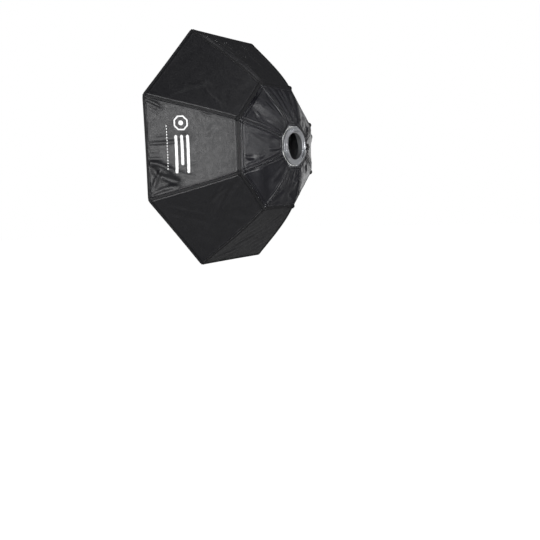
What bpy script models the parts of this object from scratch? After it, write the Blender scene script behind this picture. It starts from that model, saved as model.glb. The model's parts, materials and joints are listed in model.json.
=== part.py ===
"""An octagonal softbox: a skin of coated cloth on sprung steel rods, on a turning bayonet ring.

Frame: metres, +Z up. The origin is the centre of the face that bears on the lamp head, the lamp
lies towards +Y, and the light leaves towards -Y. Ribs stand at 22.5, 67.5 ... degrees about Y, from
+X towards +Z, and panels lie between them, centred on 0, 45 ... degrees.
Depth below means distance from the mounting face towards -Y, and radius means distance from the axis.
"""

import math

import bmesh
import bpy
from mathutils import Matrix, Vector

# Driving dimensions, in metres
RIBS = 8
SECTOR = 2 * math.pi / RIBS
RIM_RADIUS = 0.475  # to a corner of the octagonal front edge
RIM_DEPTH = 0.330

# Skin: a rib line leaves the hub at an angle from the axis and straightens towards the rim
SKIN_HUB = (0.0796, 0.0058)  # radius, depth
SKIN_HUB_ANGLE = math.radians(82.804)
SKIN_BEND = math.radians(42.743)
SKIN_LENGTH = 0.52288
KNEE = 0.34  # share of the rib line where the rear flaps end and the outer panels begin
CLOTH = 0.0012
SEAM_INSET = 0.0010  # half the gap that a seam takes up
HINGE_GAP = 0.0010
PANEL_SAG = 0.006  # cloth between ribs lies this much nearer the axis at mid panel

# Rods: straight through the socket, then the same law as the skin, a few millimetres inside it
ROD_HUB = (0.0800, 0.0158)
ROD_STRAIGHT = 0.0160
ROD_HUB_ANGLE = math.radians(81.723)
ROD_BEND = math.radians(41.504)
ROD_LENGTH = 0.47691
ROD_R = 0.0019
FIT_GAP = 0.0003
TIP_R = 0.0031
TIP_LENGTH = 0.022
TIP_WALL = 0.002
TIP_BEVEL = 0.001

# Hub
BORE_R = 0.049
FLANGE_R = 0.070
FLANGE_DEPTH = 0.008
LAND_R = 0.0645  # the raised bearing face runs from here to FLANGE_R
LAND_HEIGHT = 0.001
SLEEVE_IN_R = 0.0605
SLEEVE_R = 0.0660
SLEEVE_DEPTH = 0.0290
GROOVE_R = 0.0643
GROOVE_DEPTHS = (0.0239, 0.0263)
LUGS = 3
LUG_SPAN = math.radians(34)
LUG_STEM_R = (0.0555, 0.0585)
LUG_HOOK_R = 0.0625
LUG_HEIGHT = 0.0085
LUG_HOOK_HEIGHT = 0.0060
LUG_CUT = 0.0010  # how far the gaps between lugs are cut past them, inwards and outwards
RING_BORE_R = 0.0663
RING_FLAT_R = 0.0800  # centre to a flat; each flat carries one rod socket
RING_CORNER_R = 0.0822
RING_DEPTHS = (0.0092, 0.0236)
RING_BEVEL = 0.0008
WASHER_R = (0.0665, 0.0715)
WASHER_DEPTHS = (0.0083, 0.0089)
SOCKET_R = 0.0040
SOCKET_COLLAR_R = 0.0052
SOCKET_COLLAR = (0.0012, 0.0034)  # from the flat of the ring, along the rod
SOCKET_FLOOR = 0.0015
SOCKET_ROOT = 0.0090  # how far a socket goes into the ring, and a rod into its socket
SOCKET_REACH = 0.0145
SNAP_R = (0.0648, 0.0708)
SNAP_DEPTHS = (0.0242, 0.0260)
SNAP_OPENING = math.radians(24)

# Lock screw, at -X, between two ribs
LOCK_DEPTH = 0.0158
BOSS_R = 0.0062
BOSS_ENDS = (0.0700, 0.0930)
SCREW_R = 0.0030
PAD_R = 0.0029
PAD_ENDS = (0.0663, 0.0683)
SCREW_ENDS = (0.0686, 0.1040)
KNOB_ENDS = (0.0960, 0.1080)
KNOB_R = 0.0085
KNOB_LOBE = 0.0009
KNOB_LOBES = 8
KNOB_END_WALL = 0.001
LOCK_PANEL = RIBS // 2  # the flap at -X, which has a notch for the knob
NOTCH_WIDTH = 0.024
NOTCH_END = 0.1140

# Front
HEM_DEPTHS = (0.3212, 0.3224)
HEM_R = (0.4300, 0.4646)
TAPE_DEPTHS = (0.3227, 0.3237)
TAPE_R = (0.4340, 0.4656)
DIFFUSER_DEPTHS = (0.3240, 0.3250)
DIFFUSER_R = 0.4664
BINDING_START = 0.3190
BINDING_END = 0.3312
BINDING_CLEAR = 0.0006
BINDING_LIP = 0.0055
BINDING_CLOTH = 0.0010

# Inner diffuser
BAFFLE_DEPTHS = (0.1750, 0.1762)
BAFFLE_R = 0.2350
STRAP_WIDTH = 0.0100
STRAP_CLOTH = 0.0012
STRAP_CLEAR = 0.0010

ROUND_STEPS = 48
SNAP_STEPS = 40
BOSS_STEPS = 16
LUG_GAP_STEPS = 10
RING_CORNER_STEPS = 3
SMALL_STEPS = 12
STEPS_PER_LOBE = 6
ROD_PIECES = 16
OUTER_CELLS = (4, 8)  # across, along
FLAP_CELLS = (4, 6)
CUT_PAST = 0.002  # how far a cutter runs past the surface it leaves

COLLECTION = "octabox"


# ---------------------------------------------------------------- scene and materials


def clear_scene():
    for obj in list(bpy.data.objects):
        bpy.data.objects.remove(obj)


def new_collection(name):
    made = bpy.data.collections.new(name)
    bpy.context.scene.collection.children.link(made)
    return made


def material(name, colour, roughness, metallic=0.0):
    made = bpy.data.materials.new(name)
    made.use_nodes = True
    shader = made.node_tree.nodes["Principled BSDF"]
    shader.inputs["Base Color"].default_value = (*colour, 1.0)
    shader.inputs["Roughness"].default_value = roughness
    shader.inputs["Metallic"].default_value = metallic
    return made


def new_empty(name, location, parent=None):
    """An empty that carries the pieces of one moving part; its origin is on that part's axis."""
    made = bpy.data.objects.new(name, None)
    made.empty_display_size = 0.05
    bpy.data.collections[COLLECTION].objects.link(made)
    made.location = location
    made.parent = parent
    bpy.context.view_layer.update()
    return made


def set_origin(obj, point):
    """Moves the object's origin to this point and leaves its shape where it is."""
    obj.data.transform(Matrix.Translation(-Vector(point)) @ obj.matrix_world)
    obj.matrix_world = Matrix.Translation(point)


def finish(obj, name, skin, carrier=None, smooth=True):
    """Names the object, gives it its material and collection, and hangs it on its carrier."""
    obj.name = name
    if carrier:
        obj.parent = carrier
        obj.matrix_parent_inverse = carrier.matrix_world.inverted()
    for other in list(obj.users_collection):
        other.objects.unlink(obj)
    bpy.data.collections[COLLECTION].objects.link(obj)
    obj.data.materials.clear()
    obj.data.materials.append(MATERIALS[skin])
    if smooth and obj.type == "MESH":
        obj.data.shade_smooth()
        obj.data.set_sharp_from_angle(angle=math.radians(35))
    return obj


# ---------------------------------------------------------------- geometry helpers


def place(radius, depth, angle):
    """The point at this radius and depth in the half plane at this angle about the axis."""
    return Vector((radius * math.cos(angle), -depth, radius * math.sin(angle)))


def sprung_line(hub, hub_angle, bend, length, steps=400):
    """(radius, depth) along a rod that is stiff at its tip and bends mostly near the hub."""
    points = [hub]
    step = length / steps
    for i in range(steps):
        left = 1 - (i + 0.5) / steps
        angle = hub_angle - bend * (1 - left**3)
        radius, depth = points[-1]
        points.append((radius + math.sin(angle) * step, depth + math.cos(angle) * step))
    return points


def along(line, share):
    """The point of a sprung line at this share of its length."""
    place_on_line = share * (len(line) - 1)
    low = min(int(place_on_line), len(line) - 2)
    part = place_on_line - low
    (r0, d0), (r1, d1) = line[low], line[low + 1]
    return r0 + (r1 - r0) * part, d0 + (d1 - d0) * part


def at_depth(line, depth):
    """The radius of a sprung line at this depth."""
    for (r0, d0), (r1, d1) in zip(line, line[1:]):
        if d0 <= depth <= d1:
            return r0 + (r1 - r0) * (depth - d0) / (d1 - d0)
    raise ValueError("the line doesn't reach this depth")


def skin_line():
    return sprung_line(SKIN_HUB, SKIN_HUB_ANGLE, SKIN_BEND, SKIN_LENGTH)


def rod_line():
    """The curved part of a rod, from where its straight root ends."""
    radius = ROD_HUB[0] + math.sin(ROD_HUB_ANGLE) * ROD_STRAIGHT
    depth = ROD_HUB[1] + math.cos(ROD_HUB_ANGLE) * ROD_STRAIGHT
    return sprung_line((radius, depth), ROD_HUB_ANGLE, ROD_BEND, ROD_LENGTH)


def rib_angle(number):
    return (number + 0.5) * SECTOR


def panel_angle(number):
    return number * SECTOR


def mesh_object(name, verts, faces):
    mesh = bpy.data.meshes.new(name)
    mesh.from_pydata(verts, [], faces)
    obj = bpy.data.objects.new(name, mesh)
    bpy.context.scene.collection.objects.link(obj)
    return obj


def apply_modifiers(obj):
    """Replaces an object, mesh or curve, with the mesh that it evaluates to."""
    bpy.context.view_layer.update()
    graph = bpy.context.evaluated_depsgraph_get()
    mesh = bpy.data.meshes.new_from_object(obj.evaluated_get(graph))
    bm = bmesh.new()
    bm.from_mesh(mesh)
    bmesh.ops.remove_doubles(bm, verts=bm.verts, dist=1e-6)
    bmesh.ops.recalc_face_normals(bm, faces=bm.faces)
    bm.to_mesh(mesh)
    bm.free()
    made = bpy.data.objects.new(obj.name, mesh)
    made.matrix_world = obj.matrix_world.copy()
    bpy.context.scene.collection.objects.link(made)
    bpy.data.objects.remove(obj)
    return made


def turned(name, profile, steps, axis_to, base=(0, 0, 0)):
    """A closed (radius, height) profile turned about an axis, with heights measured from base."""
    corners = [(radius, 0, height) for radius, height in profile]
    obj = mesh_object(name, corners, [])
    bm = bmesh.new()
    bm.from_mesh(obj.data)
    bm.verts.ensure_lookup_table()
    for i in range(len(corners)):
        bm.edges.new((bm.verts[i], bm.verts[(i + 1) % len(corners)]))
    bm.to_mesh(obj.data)
    bm.free()
    screw = obj.modifiers.new("turn", "SCREW")
    screw.steps = steps
    screw.render_steps = steps
    screw.use_merge_vertices = True
    screw.merge_threshold = 0.00001
    turn = Vector(axis_to).to_track_quat("Z", "Y").to_matrix().to_4x4()
    obj.matrix_world = Matrix.Translation(Vector(base)) @ turn
    return apply_modifiers(obj)


def flat_piece(name, outlines, low, high):
    """Closed outlines of (x, z) points, an outer one and any holes, made solid between two depths."""
    curve = bpy.data.curves.new(name, "CURVE")
    curve.dimensions = "2D"
    curve.fill_mode = "BOTH"
    curve.extrude = (high - low) / 2
    for outline in outlines:
        spline = curve.splines.new("POLY")
        spline.points.add(len(outline) - 1)
        for point, (x, z) in zip(spline.points, outline):
            point.co = (x, z, 0, 1)
        spline.use_cyclic_u = True
    obj = bpy.data.objects.new(name, curve)
    bpy.context.scene.collection.objects.link(obj)
    # local Z becomes -Y, so that local Y stays +Z
    middle = (0, -(low + high) / 2, 0)
    obj.matrix_world = Matrix.Translation(middle) @ Matrix.Rotation(math.pi / 2, 4, "X")
    return apply_modifiers(obj)


def octagon(radius):
    return [(radius * math.cos(rib_angle(i)), radius * math.sin(rib_angle(i))) for i in range(RIBS)]


def arc(radius, start, end, steps):
    """(x, z) points on an arc, ends included."""
    angles = [start + (end - start) * i / steps for i in range(steps + 1)]
    return [(radius * math.cos(a), radius * math.sin(a)) for a in angles]


def rod_shape(name, radius, start, end, steps=SMALL_STEPS):
    """A plain round bar between two points."""
    start, end = Vector(start), Vector(end)
    length = (end - start).length
    bpy.ops.mesh.primitive_cylinder_add(vertices=steps, radius=radius, depth=length)
    obj = bpy.context.object
    obj.name = name
    turn = (end - start).to_track_quat("Z", "Y").to_matrix().to_4x4()
    obj.matrix_world = Matrix.Translation((start + end) / 2) @ turn
    return apply_modifiers(obj)


def lock_bar(name, radius, start, end, steps=SMALL_STEPS):
    """A round bar on the lock's axis, between two radii from the object's axis."""
    return rod_shape(name, radius, (-start, -LOCK_DEPTH, 0), (-end, -LOCK_DEPTH, 0), steps)


def boolean(obj, other, operation):
    """Cuts or joins, and removes the other shape."""
    modifier = obj.modifiers.new(operation.lower(), "BOOLEAN")
    modifier.operation = operation
    modifier.object = other
    modifier.solver = "EXACT"
    name = obj.name
    made = apply_modifiers(obj)
    bpy.data.objects.remove(other)
    made.name = name
    return made


def cloth_sheet(name, surface, cells_across, cells_along, outward):
    """A grid bent to surface(across, along) and thickened inwards; outward is the side it faces."""
    mesh = bpy.data.meshes.new(name)
    bm = bmesh.new()
    bmesh.ops.create_grid(bm, x_segments=cells_across, y_segments=cells_along, size=0.5)
    for vert in bm.verts:
        vert.co = surface(vert.co.x + 0.5, vert.co.y + 0.5)
    bm.normal_update()
    if sum((face.normal for face in bm.faces), Vector()).dot(outward) < 0:
        bmesh.ops.reverse_faces(bm, faces=bm.faces)
    bm.to_mesh(mesh)
    bm.free()
    obj = bpy.data.objects.new(name, mesh)
    bpy.context.scene.collection.objects.link(obj)
    solid = obj.modifiers.new("cloth", "SOLIDIFY")
    solid.thickness = CLOTH
    solid.offset = -1
    return apply_modifiers(obj)


# ---------------------------------------------------------------- hub


def make_bayonet_ring():
    """The insert that locks to the lamp head: flange, bearing land, lug ring and a grooved sleeve."""
    stem_in, stem_out = LUG_STEM_R
    groove_low, groove_high = GROOVE_DEPTHS
    floor = -LAND_HEIGHT
    profile = [
        (BORE_R, floor),
        (stem_in, floor),
        (stem_in, LUG_HEIGHT),
        (LUG_HOOK_R, LUG_HEIGHT),
        (LUG_HOOK_R, LUG_HOOK_HEIGHT),
        (stem_out, LUG_HOOK_HEIGHT),
        (stem_out, floor),
        (LAND_R, floor),
        (LAND_R, 0),
        (FLANGE_R, 0),
        (FLANGE_R, -FLANGE_DEPTH),
        (SLEEVE_R, -FLANGE_DEPTH),
        (SLEEVE_R, -groove_low),
        (GROOVE_R, -groove_low),
        (GROOVE_R, -groove_high),
        (SLEEVE_R, -groove_high),
        (SLEEVE_R, -SLEEVE_DEPTH),
        (SLEEVE_IN_R, -SLEEVE_DEPTH),
        (SLEEVE_IN_R, -FLANGE_DEPTH),
        (BORE_R, -FLANGE_DEPTH),
    ]
    ring = turned("bayonet_ring", profile, ROUND_STEPS, axis_to=(0, 1, 0))
    gap = 2 * math.pi / LUGS - LUG_SPAN
    for i in range(LUGS):
        middle = math.pi / 2 + (i + 0.5) * 2 * math.pi / LUGS
        start, end = middle - gap / 2, middle + gap / 2
        outline = arc(LUG_HOOK_R + LUG_CUT, start, end, LUG_GAP_STEPS)
        outline += arc(stem_in - LUG_CUT, end, start, LUG_GAP_STEPS)
        cutter = flat_piece("lug_gap", [outline], -LUG_HEIGHT - CUT_PAST, -floor)
        ring = boolean(ring, cutter, "DIFFERENCE")
    finish(ring, "bayonet_ring", "aluminium")


def make_snap_ring():
    """The open spring ring that holds the rod ring on the sleeve."""
    inner, outer = SNAP_R
    start = math.pi / 2 + SNAP_OPENING / 2
    end = math.pi / 2 + 2 * math.pi - SNAP_OPENING / 2
    outline = arc(outer, start, end, SNAP_STEPS) + arc(inner, end, start, SNAP_STEPS)
    finish(flat_piece("snap_ring", [outline], *SNAP_DEPTHS), "snap_ring", "spring_steel")


def socket_direction(number):
    """Which way the rod leaves the hub at this rib."""
    angle = rib_angle(number)
    return place(math.sin(ROD_HUB_ANGLE), math.cos(ROD_HUB_ANGLE), angle)


def socket_mouth(number):
    return place(*ROD_HUB, rib_angle(number))


def make_glide_washer():
    """The thin plastic washer between the flange and the turning ring."""
    low, high = WASHER_DEPTHS
    inner, outer = WASHER_R
    profile = [(inner, -low), (outer, -low), (outer, -high), (inner, -high)]
    washer = turned("glide_washer", profile, ROUND_STEPS, axis_to=(0, 1, 0))
    finish(washer, "glide_washer", "white_plastic")


def make_rod_ring():
    """The ring that turns on the sleeve, with a flat for each rod socket."""
    low, high = RING_DEPTHS
    half_flat = math.acos(RING_FLAT_R / RING_CORNER_R)
    outside = []
    for i in range(RIBS):
        start, end = rib_angle(i) + half_flat, rib_angle(i + 1) - half_flat
        outside += arc(RING_CORNER_R, start, end, RING_CORNER_STEPS)
    ring = flat_piece("rod_ring", [outside], low, high)
    edge = ring.modifiers.new("edge", "BEVEL")
    edge.width = RING_BEVEL
    edge.segments = 1
    ring = apply_modifiers(ring)
    ring = boolean(ring, lock_bar("boss", BOSS_R, *BOSS_ENDS, BOSS_STEPS), "UNION")
    bore = rod_shape("bore", RING_BORE_R, (0, -low + CUT_PAST, 0), (0, -high - CUT_PAST, 0), ROUND_STEPS)
    ring = boolean(ring, bore, "DIFFERENCE")
    hole = lock_bar("hole", SCREW_R + FIT_GAP, SLEEVE_IN_R, BOSS_ENDS[1] + CUT_PAST)
    ring = boolean(ring, hole, "DIFFERENCE")
    for i in range(RIBS):
        mouth, direction = socket_mouth(i), socket_direction(i)
        deepest = mouth - direction * (SOCKET_ROOT + FIT_GAP)
        seat = rod_shape("seat", SOCKET_R + FIT_GAP, deepest, mouth + direction * SOCKET_REACH)
        ring = boolean(ring, seat, "DIFFERENCE")
    finish(ring, "rod_ring", "aluminium", SOFTBOX)


def make_rod_sockets():
    """Blind steel cups pressed into the rod ring; each holds the root of one rod."""
    collar_low, collar_high = SOCKET_COLLAR
    cup = ROD_R + FIT_GAP
    for i in range(RIBS):
        profile = [
            (cup, SOCKET_REACH),
            (cup, -SOCKET_ROOT + SOCKET_FLOOR),
            (0, -SOCKET_ROOT + SOCKET_FLOOR),
            (0, -SOCKET_ROOT),
            (SOCKET_R, -SOCKET_ROOT),
            (SOCKET_R, collar_low),
            (SOCKET_COLLAR_R, collar_low),
            (SOCKET_COLLAR_R, collar_high),
            (SOCKET_R, collar_high),
            (SOCKET_R, SOCKET_REACH),
        ]
        name = f"rod_socket_{i + 1}"
        socket = turned(name, profile, SMALL_STEPS, axis_to=socket_direction(i), base=socket_mouth(i))
        finish(socket, name, "zinc_steel", SOFTBOX)


def make_lock():
    """The clamp for the turning ring: a swivel pad, a screw and its lobed knob, all along -X."""
    finish(lock_bar("lock_pad", PAD_R, *PAD_ENDS), "lock_pad", "brass", LOCK)
    finish(lock_bar("lock_screw", SCREW_R, *SCREW_ENDS), "lock_screw", "zinc_steel", LOCK)
    outline = []
    steps = KNOB_LOBES * STEPS_PER_LOBE
    for i in range(steps):
        angle = 2 * math.pi * i / steps
        radius = KNOB_R + KNOB_LOBE * math.cos(KNOB_LOBES * angle)
        outline.append((radius * math.cos(angle), radius * math.sin(angle)))
    knob = flat_piece("lock_knob", [outline], -KNOB_ENDS[1], -KNOB_ENDS[0])
    # flat_piece lies along Y: turn it about Z so that it points along -X, at the lock's depth
    knob.data.transform(knob.matrix_world)
    knob.matrix_world = Matrix.Identity(4)
    turn = Matrix.Rotation(math.pi / 2, 4, "Z")
    knob.data.transform(Matrix.Translation((0, -LOCK_DEPTH, 0)) @ turn)
    seat = lock_bar("seat", SCREW_R + FIT_GAP, KNOB_ENDS[0] - KNOB_END_WALL, SCREW_ENDS[1] + FIT_GAP)
    finish(boolean(knob, seat, "DIFFERENCE"), "lock_knob", "black_plastic", LOCK)


# ---------------------------------------------------------------- rods


def make_rods():
    """Sprung steel rods, each with a plastic cap that sits in a corner of the skin."""
    line = rod_line()
    # shorter pieces near the root, where the rod bends most
    shares = [(i / ROD_PIECES) ** 1.25 for i in range(ROD_PIECES + 1)]
    for i in range(RIBS):
        angle = rib_angle(i)
        root = socket_mouth(i) - socket_direction(i) * (SOCKET_ROOT - SOCKET_FLOOR - FIT_GAP)
        points = [root] + [place(*along(line, share), angle) for share in shares]
        name = f"rod_{i + 1}"
        curve = bpy.data.curves.new(name, "CURVE")
        curve.dimensions = "3D"
        curve.bevel_depth = ROD_R
        curve.bevel_resolution = 2
        curve.use_fill_caps = True
        spline = curve.splines.new("POLY")
        spline.points.add(len(points) - 1)
        for target, point in zip(spline.points, points):
            target.co = (*point, 1)
        rod = bpy.data.objects.new(name, curve)
        bpy.context.scene.collection.objects.link(rod)
        finish(apply_modifiers(rod), name, "spring_steel", SOFTBOX)

        end = points[-1]
        direction = (points[-1] - points[-2]).normalized()
        cup = ROD_R + FIT_GAP
        profile = [
            (cup, -TIP_LENGTH + TIP_WALL),
            (cup, FIT_GAP),
            (0, FIT_GAP),
            (0, TIP_WALL),
            (TIP_R - TIP_BEVEL, TIP_WALL),
            (TIP_R, TIP_WALL - TIP_BEVEL),
            (TIP_R, -TIP_LENGTH + TIP_WALL),
        ]
        tip_name = f"rod_tip_{i + 1}"
        tip = turned(tip_name, profile[::-1], SMALL_STEPS, axis_to=direction, base=end)
        finish(tip, tip_name, "black_plastic", SOFTBOX)


# ---------------------------------------------------------------- skin


def skin_surface(number, start, end, sag=0.0):
    """surface(across, along): the skin between two ribs, from one share of the rib line to another."""
    line = skin_line()
    inward = -place(1, 0, panel_angle(number))

    def surface(across, along_rib):
        radius, depth = along(line, start + (end - start) * along_rib)
        a = place(radius, depth, rib_angle(number - 1))
        b = place(radius, depth, rib_angle(number))
        inset = (b - a).normalized() * SEAM_INSET
        # each product is 1/4 at the middle, so that the dip there is the whole sag
        dip = sag * 4 * along_rib * (1 - along_rib) * 4 * across * (1 - across)
        return (a + inset).lerp(b - inset, across) + inward * dip

    return surface


def outward(number):
    """Roughly which way the outside of a panel or flap faces: out from the axis and to the rear."""
    return place(1, -1, panel_angle(number))


def make_outer_panels():
    """The panels from the knee to the rim."""
    start = KNEE + HINGE_GAP / SKIN_LENGTH
    for i in range(RIBS):
        name = f"outer_panel_{i + 1}"
        panel = cloth_sheet(name, skin_surface(i, start, 1.0, PANEL_SAG), *OUTER_CELLS, outward(i))
        finish(panel, name, "black_nylon", SOFTBOX)


def make_rear_flaps():
    """The flaps from the hub to the knee; each turns on its knee edge, so its origin is there."""
    knee_radius, knee_depth = along(skin_line(), KNEE)
    end = KNEE - HINGE_GAP / SKIN_LENGTH
    for i in range(RIBS):
        name = f"rear_flap_{i + 1}"
        flap = cloth_sheet(name, skin_surface(i, 0.0, end), *FLAP_CELLS, outward(i))
        if i == LOCK_PANEL:
            flap = cut_knob_notch(flap)
        hinge = place(knee_radius * math.cos(SECTOR / 2), knee_depth, panel_angle(i))
        set_origin(flap, hinge)
        finish(flap, name, "black_nylon", SOFTBOX)


def cut_knob_notch(flap):
    """Opens a slot in the flap's hub edge for the lock knob."""
    bpy.ops.mesh.primitive_cube_add(size=1)
    cutter = bpy.context.object
    cutter.scale = (NOTCH_END - SLEEVE_IN_R, 2 * SLEEVE_DEPTH, NOTCH_WIDTH)
    cutter.location = (-(NOTCH_END + SLEEVE_IN_R) / 2, -LOCK_DEPTH, 0)
    return boolean(flap, apply_modifiers(cutter), "DIFFERENCE")


def make_binding():
    """The tape sewn over the front edge, all the way round: a profile turned in eight steps."""
    line = skin_line()
    slope = (RIM_RADIUS - at_depth(line, BINDING_START)) / (RIM_DEPTH - BINDING_START)
    clear = BINDING_CLEAR * math.hypot(1, slope)
    thick = BINDING_CLOTH * math.hypot(1, slope)
    rear_r = at_depth(line, BINDING_START) + clear
    front_r = RIM_RADIUS + slope * (BINDING_END - RIM_DEPTH) + clear
    profile = [
        (rear_r, -BINDING_START),
        (front_r, -BINDING_END),
        (front_r - BINDING_LIP, -BINDING_END),
        (front_r - BINDING_LIP, -BINDING_END - BINDING_CLOTH),
        (front_r + thick, -BINDING_END - BINDING_CLOTH),
        (rear_r + thick, -BINDING_START),
    ]
    binding = turned("rim_binding", profile, RIBS, axis_to=(0, 1, 0))
    binding.data.transform(binding.matrix_world)
    binding.matrix_world = Matrix.Identity(4)
    corner = max(binding.data.vertices, key=lambda vert: vert.co.x).co
    lead = math.atan2(corner.z, corner.x) - rib_angle(0)
    binding.data.transform(Matrix.Rotation(lead, 4, "Y"))
    finish(binding, "rim_binding", "black_tape", SOFTBOX, smooth=False)


def make_front():
    """The inner hem with its hook tape, and the front diffuser that sticks to it."""
    hem = flat_piece("front_hem", [octagon(HEM_R[1]), octagon(HEM_R[0])], *HEM_DEPTHS)
    finish(hem, "front_hem", "black_tape", SOFTBOX, smooth=False)
    tape = flat_piece("diffuser_tape", [octagon(TAPE_R[1]), octagon(TAPE_R[0])], *TAPE_DEPTHS)
    finish(tape, "diffuser_tape", "white_tape", FRONT_COVER, smooth=False)
    front = flat_piece("front_diffuser", [octagon(DIFFUSER_R)], *DIFFUSER_DEPTHS)
    finish(front, "front_diffuser", "white_nylon", FRONT_COVER, smooth=False)


def make_inner_diffuser():
    """The inner diffuser and the elastic straps that hang it between the rods."""
    baffle = flat_piece("inner_diffuser", [octagon(BAFFLE_R)], *BAFFLE_DEPTHS)
    finish(baffle, "inner_diffuser", "white_nylon", SOFTBOX, smooth=False)
    line = rod_line()
    low, high = BAFFLE_DEPTHS
    middle = (low + high) / 2
    # a rod crosses the strap's plane at a slope, so its half thickness there is more than its radius
    slope = (at_depth(line, high) - at_depth(line, low)) / (high - low)
    reach = at_depth(line, middle) - ROD_R * math.hypot(1, slope) - 2 * STRAP_CLEAR
    start = BAFFLE_R + STRAP_CLEAR
    for i in range(RIBS):
        bpy.ops.mesh.primitive_cube_add(size=1)
        strap = bpy.context.object
        strap.scale = (reach - start, STRAP_CLOTH, STRAP_WIDTH)
        strap.location = place((start + reach) / 2, middle, rib_angle(i))
        strap.rotation_euler = (0, -rib_angle(i), 0)
        name = f"elastic_strap_{i + 1}"
        finish(apply_modifiers(strap), name, "white_elastic", SOFTBOX, smooth=False)


# ---------------------------------------------------------------- build

clear_scene()
new_collection(COLLECTION)
MATERIALS = {
    "black_nylon": material("black_nylon", (0.018, 0.018, 0.021), 0.55),
    "black_tape": material("black_tape", (0.010, 0.010, 0.011), 0.8),
    "white_nylon": material("white_nylon", (0.85, 0.86, 0.87), 0.7),
    "white_tape": material("white_tape", (0.75, 0.76, 0.77), 0.85),
    "white_elastic": material("white_elastic", (0.7, 0.7, 0.7), 0.8),
    "spring_steel": material("spring_steel", (0.45, 0.46, 0.48), 0.3, 1.0),
    "zinc_steel": material("zinc_steel", (0.6, 0.61, 0.62), 0.35, 1.0),
    "aluminium": material("aluminium", (0.72, 0.73, 0.75), 0.35, 1.0),
    "brass": material("brass", (0.7, 0.5, 0.2), 0.35, 1.0),
    "black_plastic": material("black_plastic", (0.012, 0.012, 0.013), 0.45),
    "white_plastic": material("white_plastic", (0.8, 0.8, 0.78), 0.4),
}
SOFTBOX = new_empty("softbox_axis", (0, 0, 0))
FRONT_COVER = new_empty("front_cover_carrier", (0, 0, 0), SOFTBOX)
LOCK = new_empty("lock_axis", (-SCREW_ENDS[0], -LOCK_DEPTH, 0), SOFTBOX)
make_bayonet_ring()
make_snap_ring()
make_glide_washer()
make_rod_ring()
make_rod_sockets()
make_lock()
make_rods()
make_outer_panels()
make_rear_flaps()
make_binding()
make_front()
make_inner_diffuser()
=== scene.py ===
"""Looks for the octabox: sewn cloth, tapes, lining and diffusers, and the turned metal of its hub.

Metres, +Z up. The lamp is towards +Y and the light leaves towards -Y. Depth is the distance from the
mounting face towards -Y. Panels stand at 0, 45 ... degrees about Y, from +X towards +Z, and ribs between
them. On a panel, across runs from 0 at its first rib to 1 at its second, and along from 0 to 1.
"""

import json
import math
import random

import bmesh
import bpy
import numpy as np
from mathutils import Matrix, Vector


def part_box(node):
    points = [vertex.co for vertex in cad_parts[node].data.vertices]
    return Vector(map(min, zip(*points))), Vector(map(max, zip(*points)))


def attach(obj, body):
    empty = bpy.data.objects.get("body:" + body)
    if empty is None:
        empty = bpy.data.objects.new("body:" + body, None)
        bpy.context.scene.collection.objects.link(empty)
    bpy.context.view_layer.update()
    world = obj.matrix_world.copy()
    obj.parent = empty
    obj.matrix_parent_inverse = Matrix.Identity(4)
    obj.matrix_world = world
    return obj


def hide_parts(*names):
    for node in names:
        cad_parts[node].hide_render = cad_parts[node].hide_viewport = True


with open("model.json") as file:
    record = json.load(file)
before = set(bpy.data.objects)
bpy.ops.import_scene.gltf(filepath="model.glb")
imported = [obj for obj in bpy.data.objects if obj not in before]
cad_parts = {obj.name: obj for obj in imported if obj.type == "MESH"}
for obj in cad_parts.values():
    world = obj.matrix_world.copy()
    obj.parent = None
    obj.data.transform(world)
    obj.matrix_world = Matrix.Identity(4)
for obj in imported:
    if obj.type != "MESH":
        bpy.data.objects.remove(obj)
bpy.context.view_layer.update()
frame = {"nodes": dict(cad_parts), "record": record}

# The skin's rib line, as the CAD part makes it
RIBS = 8
SECTOR = 2 * math.pi / RIBS
HALF = SECTOR / 2
SKIN_HUB = (0.0796, 0.0058)  # radius, depth
SKIN_HUB_ANGLE = math.radians(82.804)
SKIN_BEND = math.radians(42.743)
SKIN_LENGTH = 0.52288
KNEE = 0.34  # share of the rib line where rear flaps and outer panels meet
PANEL_SAG = 0.006

CLOTH = 0.0008
RIB_ROUND = 0.006  # the skin rounds each rib with this radius
RIM_BOW = 0.0012  # how far the middle of a front edge is drawn back by the cloth's pull
CORNER_BLUNT = 0.0010
SEAM_GROOVE = 0.0022  # how deep the cloth is drawn in beside a sewn tape
GROOVE_PLACE = 0.0006  # metres from the tape's edge
GROOVE_WIDTH = 0.0019
SEAM_WELT = 0.0011  # how far the seam allowance under the cloth raises it, a little further in
WELT_PLACE = 0.0048
WELT_WIDTH = 0.0021
LONG_WAVES = (9, 0.035, 0.11, 1.0)  # count, shortest and longest wavelength, height
SHORT_WAVES = (10, 0.012, 0.03, 0.16)


# ---------------------------------------------------------------- the skin as a surface


def rib_table(steps=800):
    """Radius and depth along the rib line."""
    table = [SKIN_HUB]
    step = SKIN_LENGTH / steps
    for i in range(steps):
        left = 1 - (i + 0.5) / steps
        angle = SKIN_HUB_ANGLE - SKIN_BEND * (1 - left**3)
        radius, depth = table[-1]
        table.append((radius + math.sin(angle) * step, depth + math.cos(angle) * step))
    return np.array(table)


RIB = rib_table()
RIB_SHARE = np.linspace(0, 1, len(RIB))


def rib_at(share):
    """Radius and depth at a share of the rib line, and past its ends in a straight line."""
    inside = np.clip(share, 0, 1)
    radius = np.interp(inside, RIB_SHARE, RIB[:, 0])
    depth = np.interp(inside, RIB_SHARE, RIB[:, 1])
    for end, index in ((0, 1), (1, -2)):
        beyond = (share - inside) * (inside == end)
        slope = (RIB[-end] - RIB[index]) / (RIB_SHARE[-end] - RIB_SHARE[index])
        radius, depth = radius + beyond * slope[0], depth + beyond * slope[1]
    return radius, depth


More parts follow.
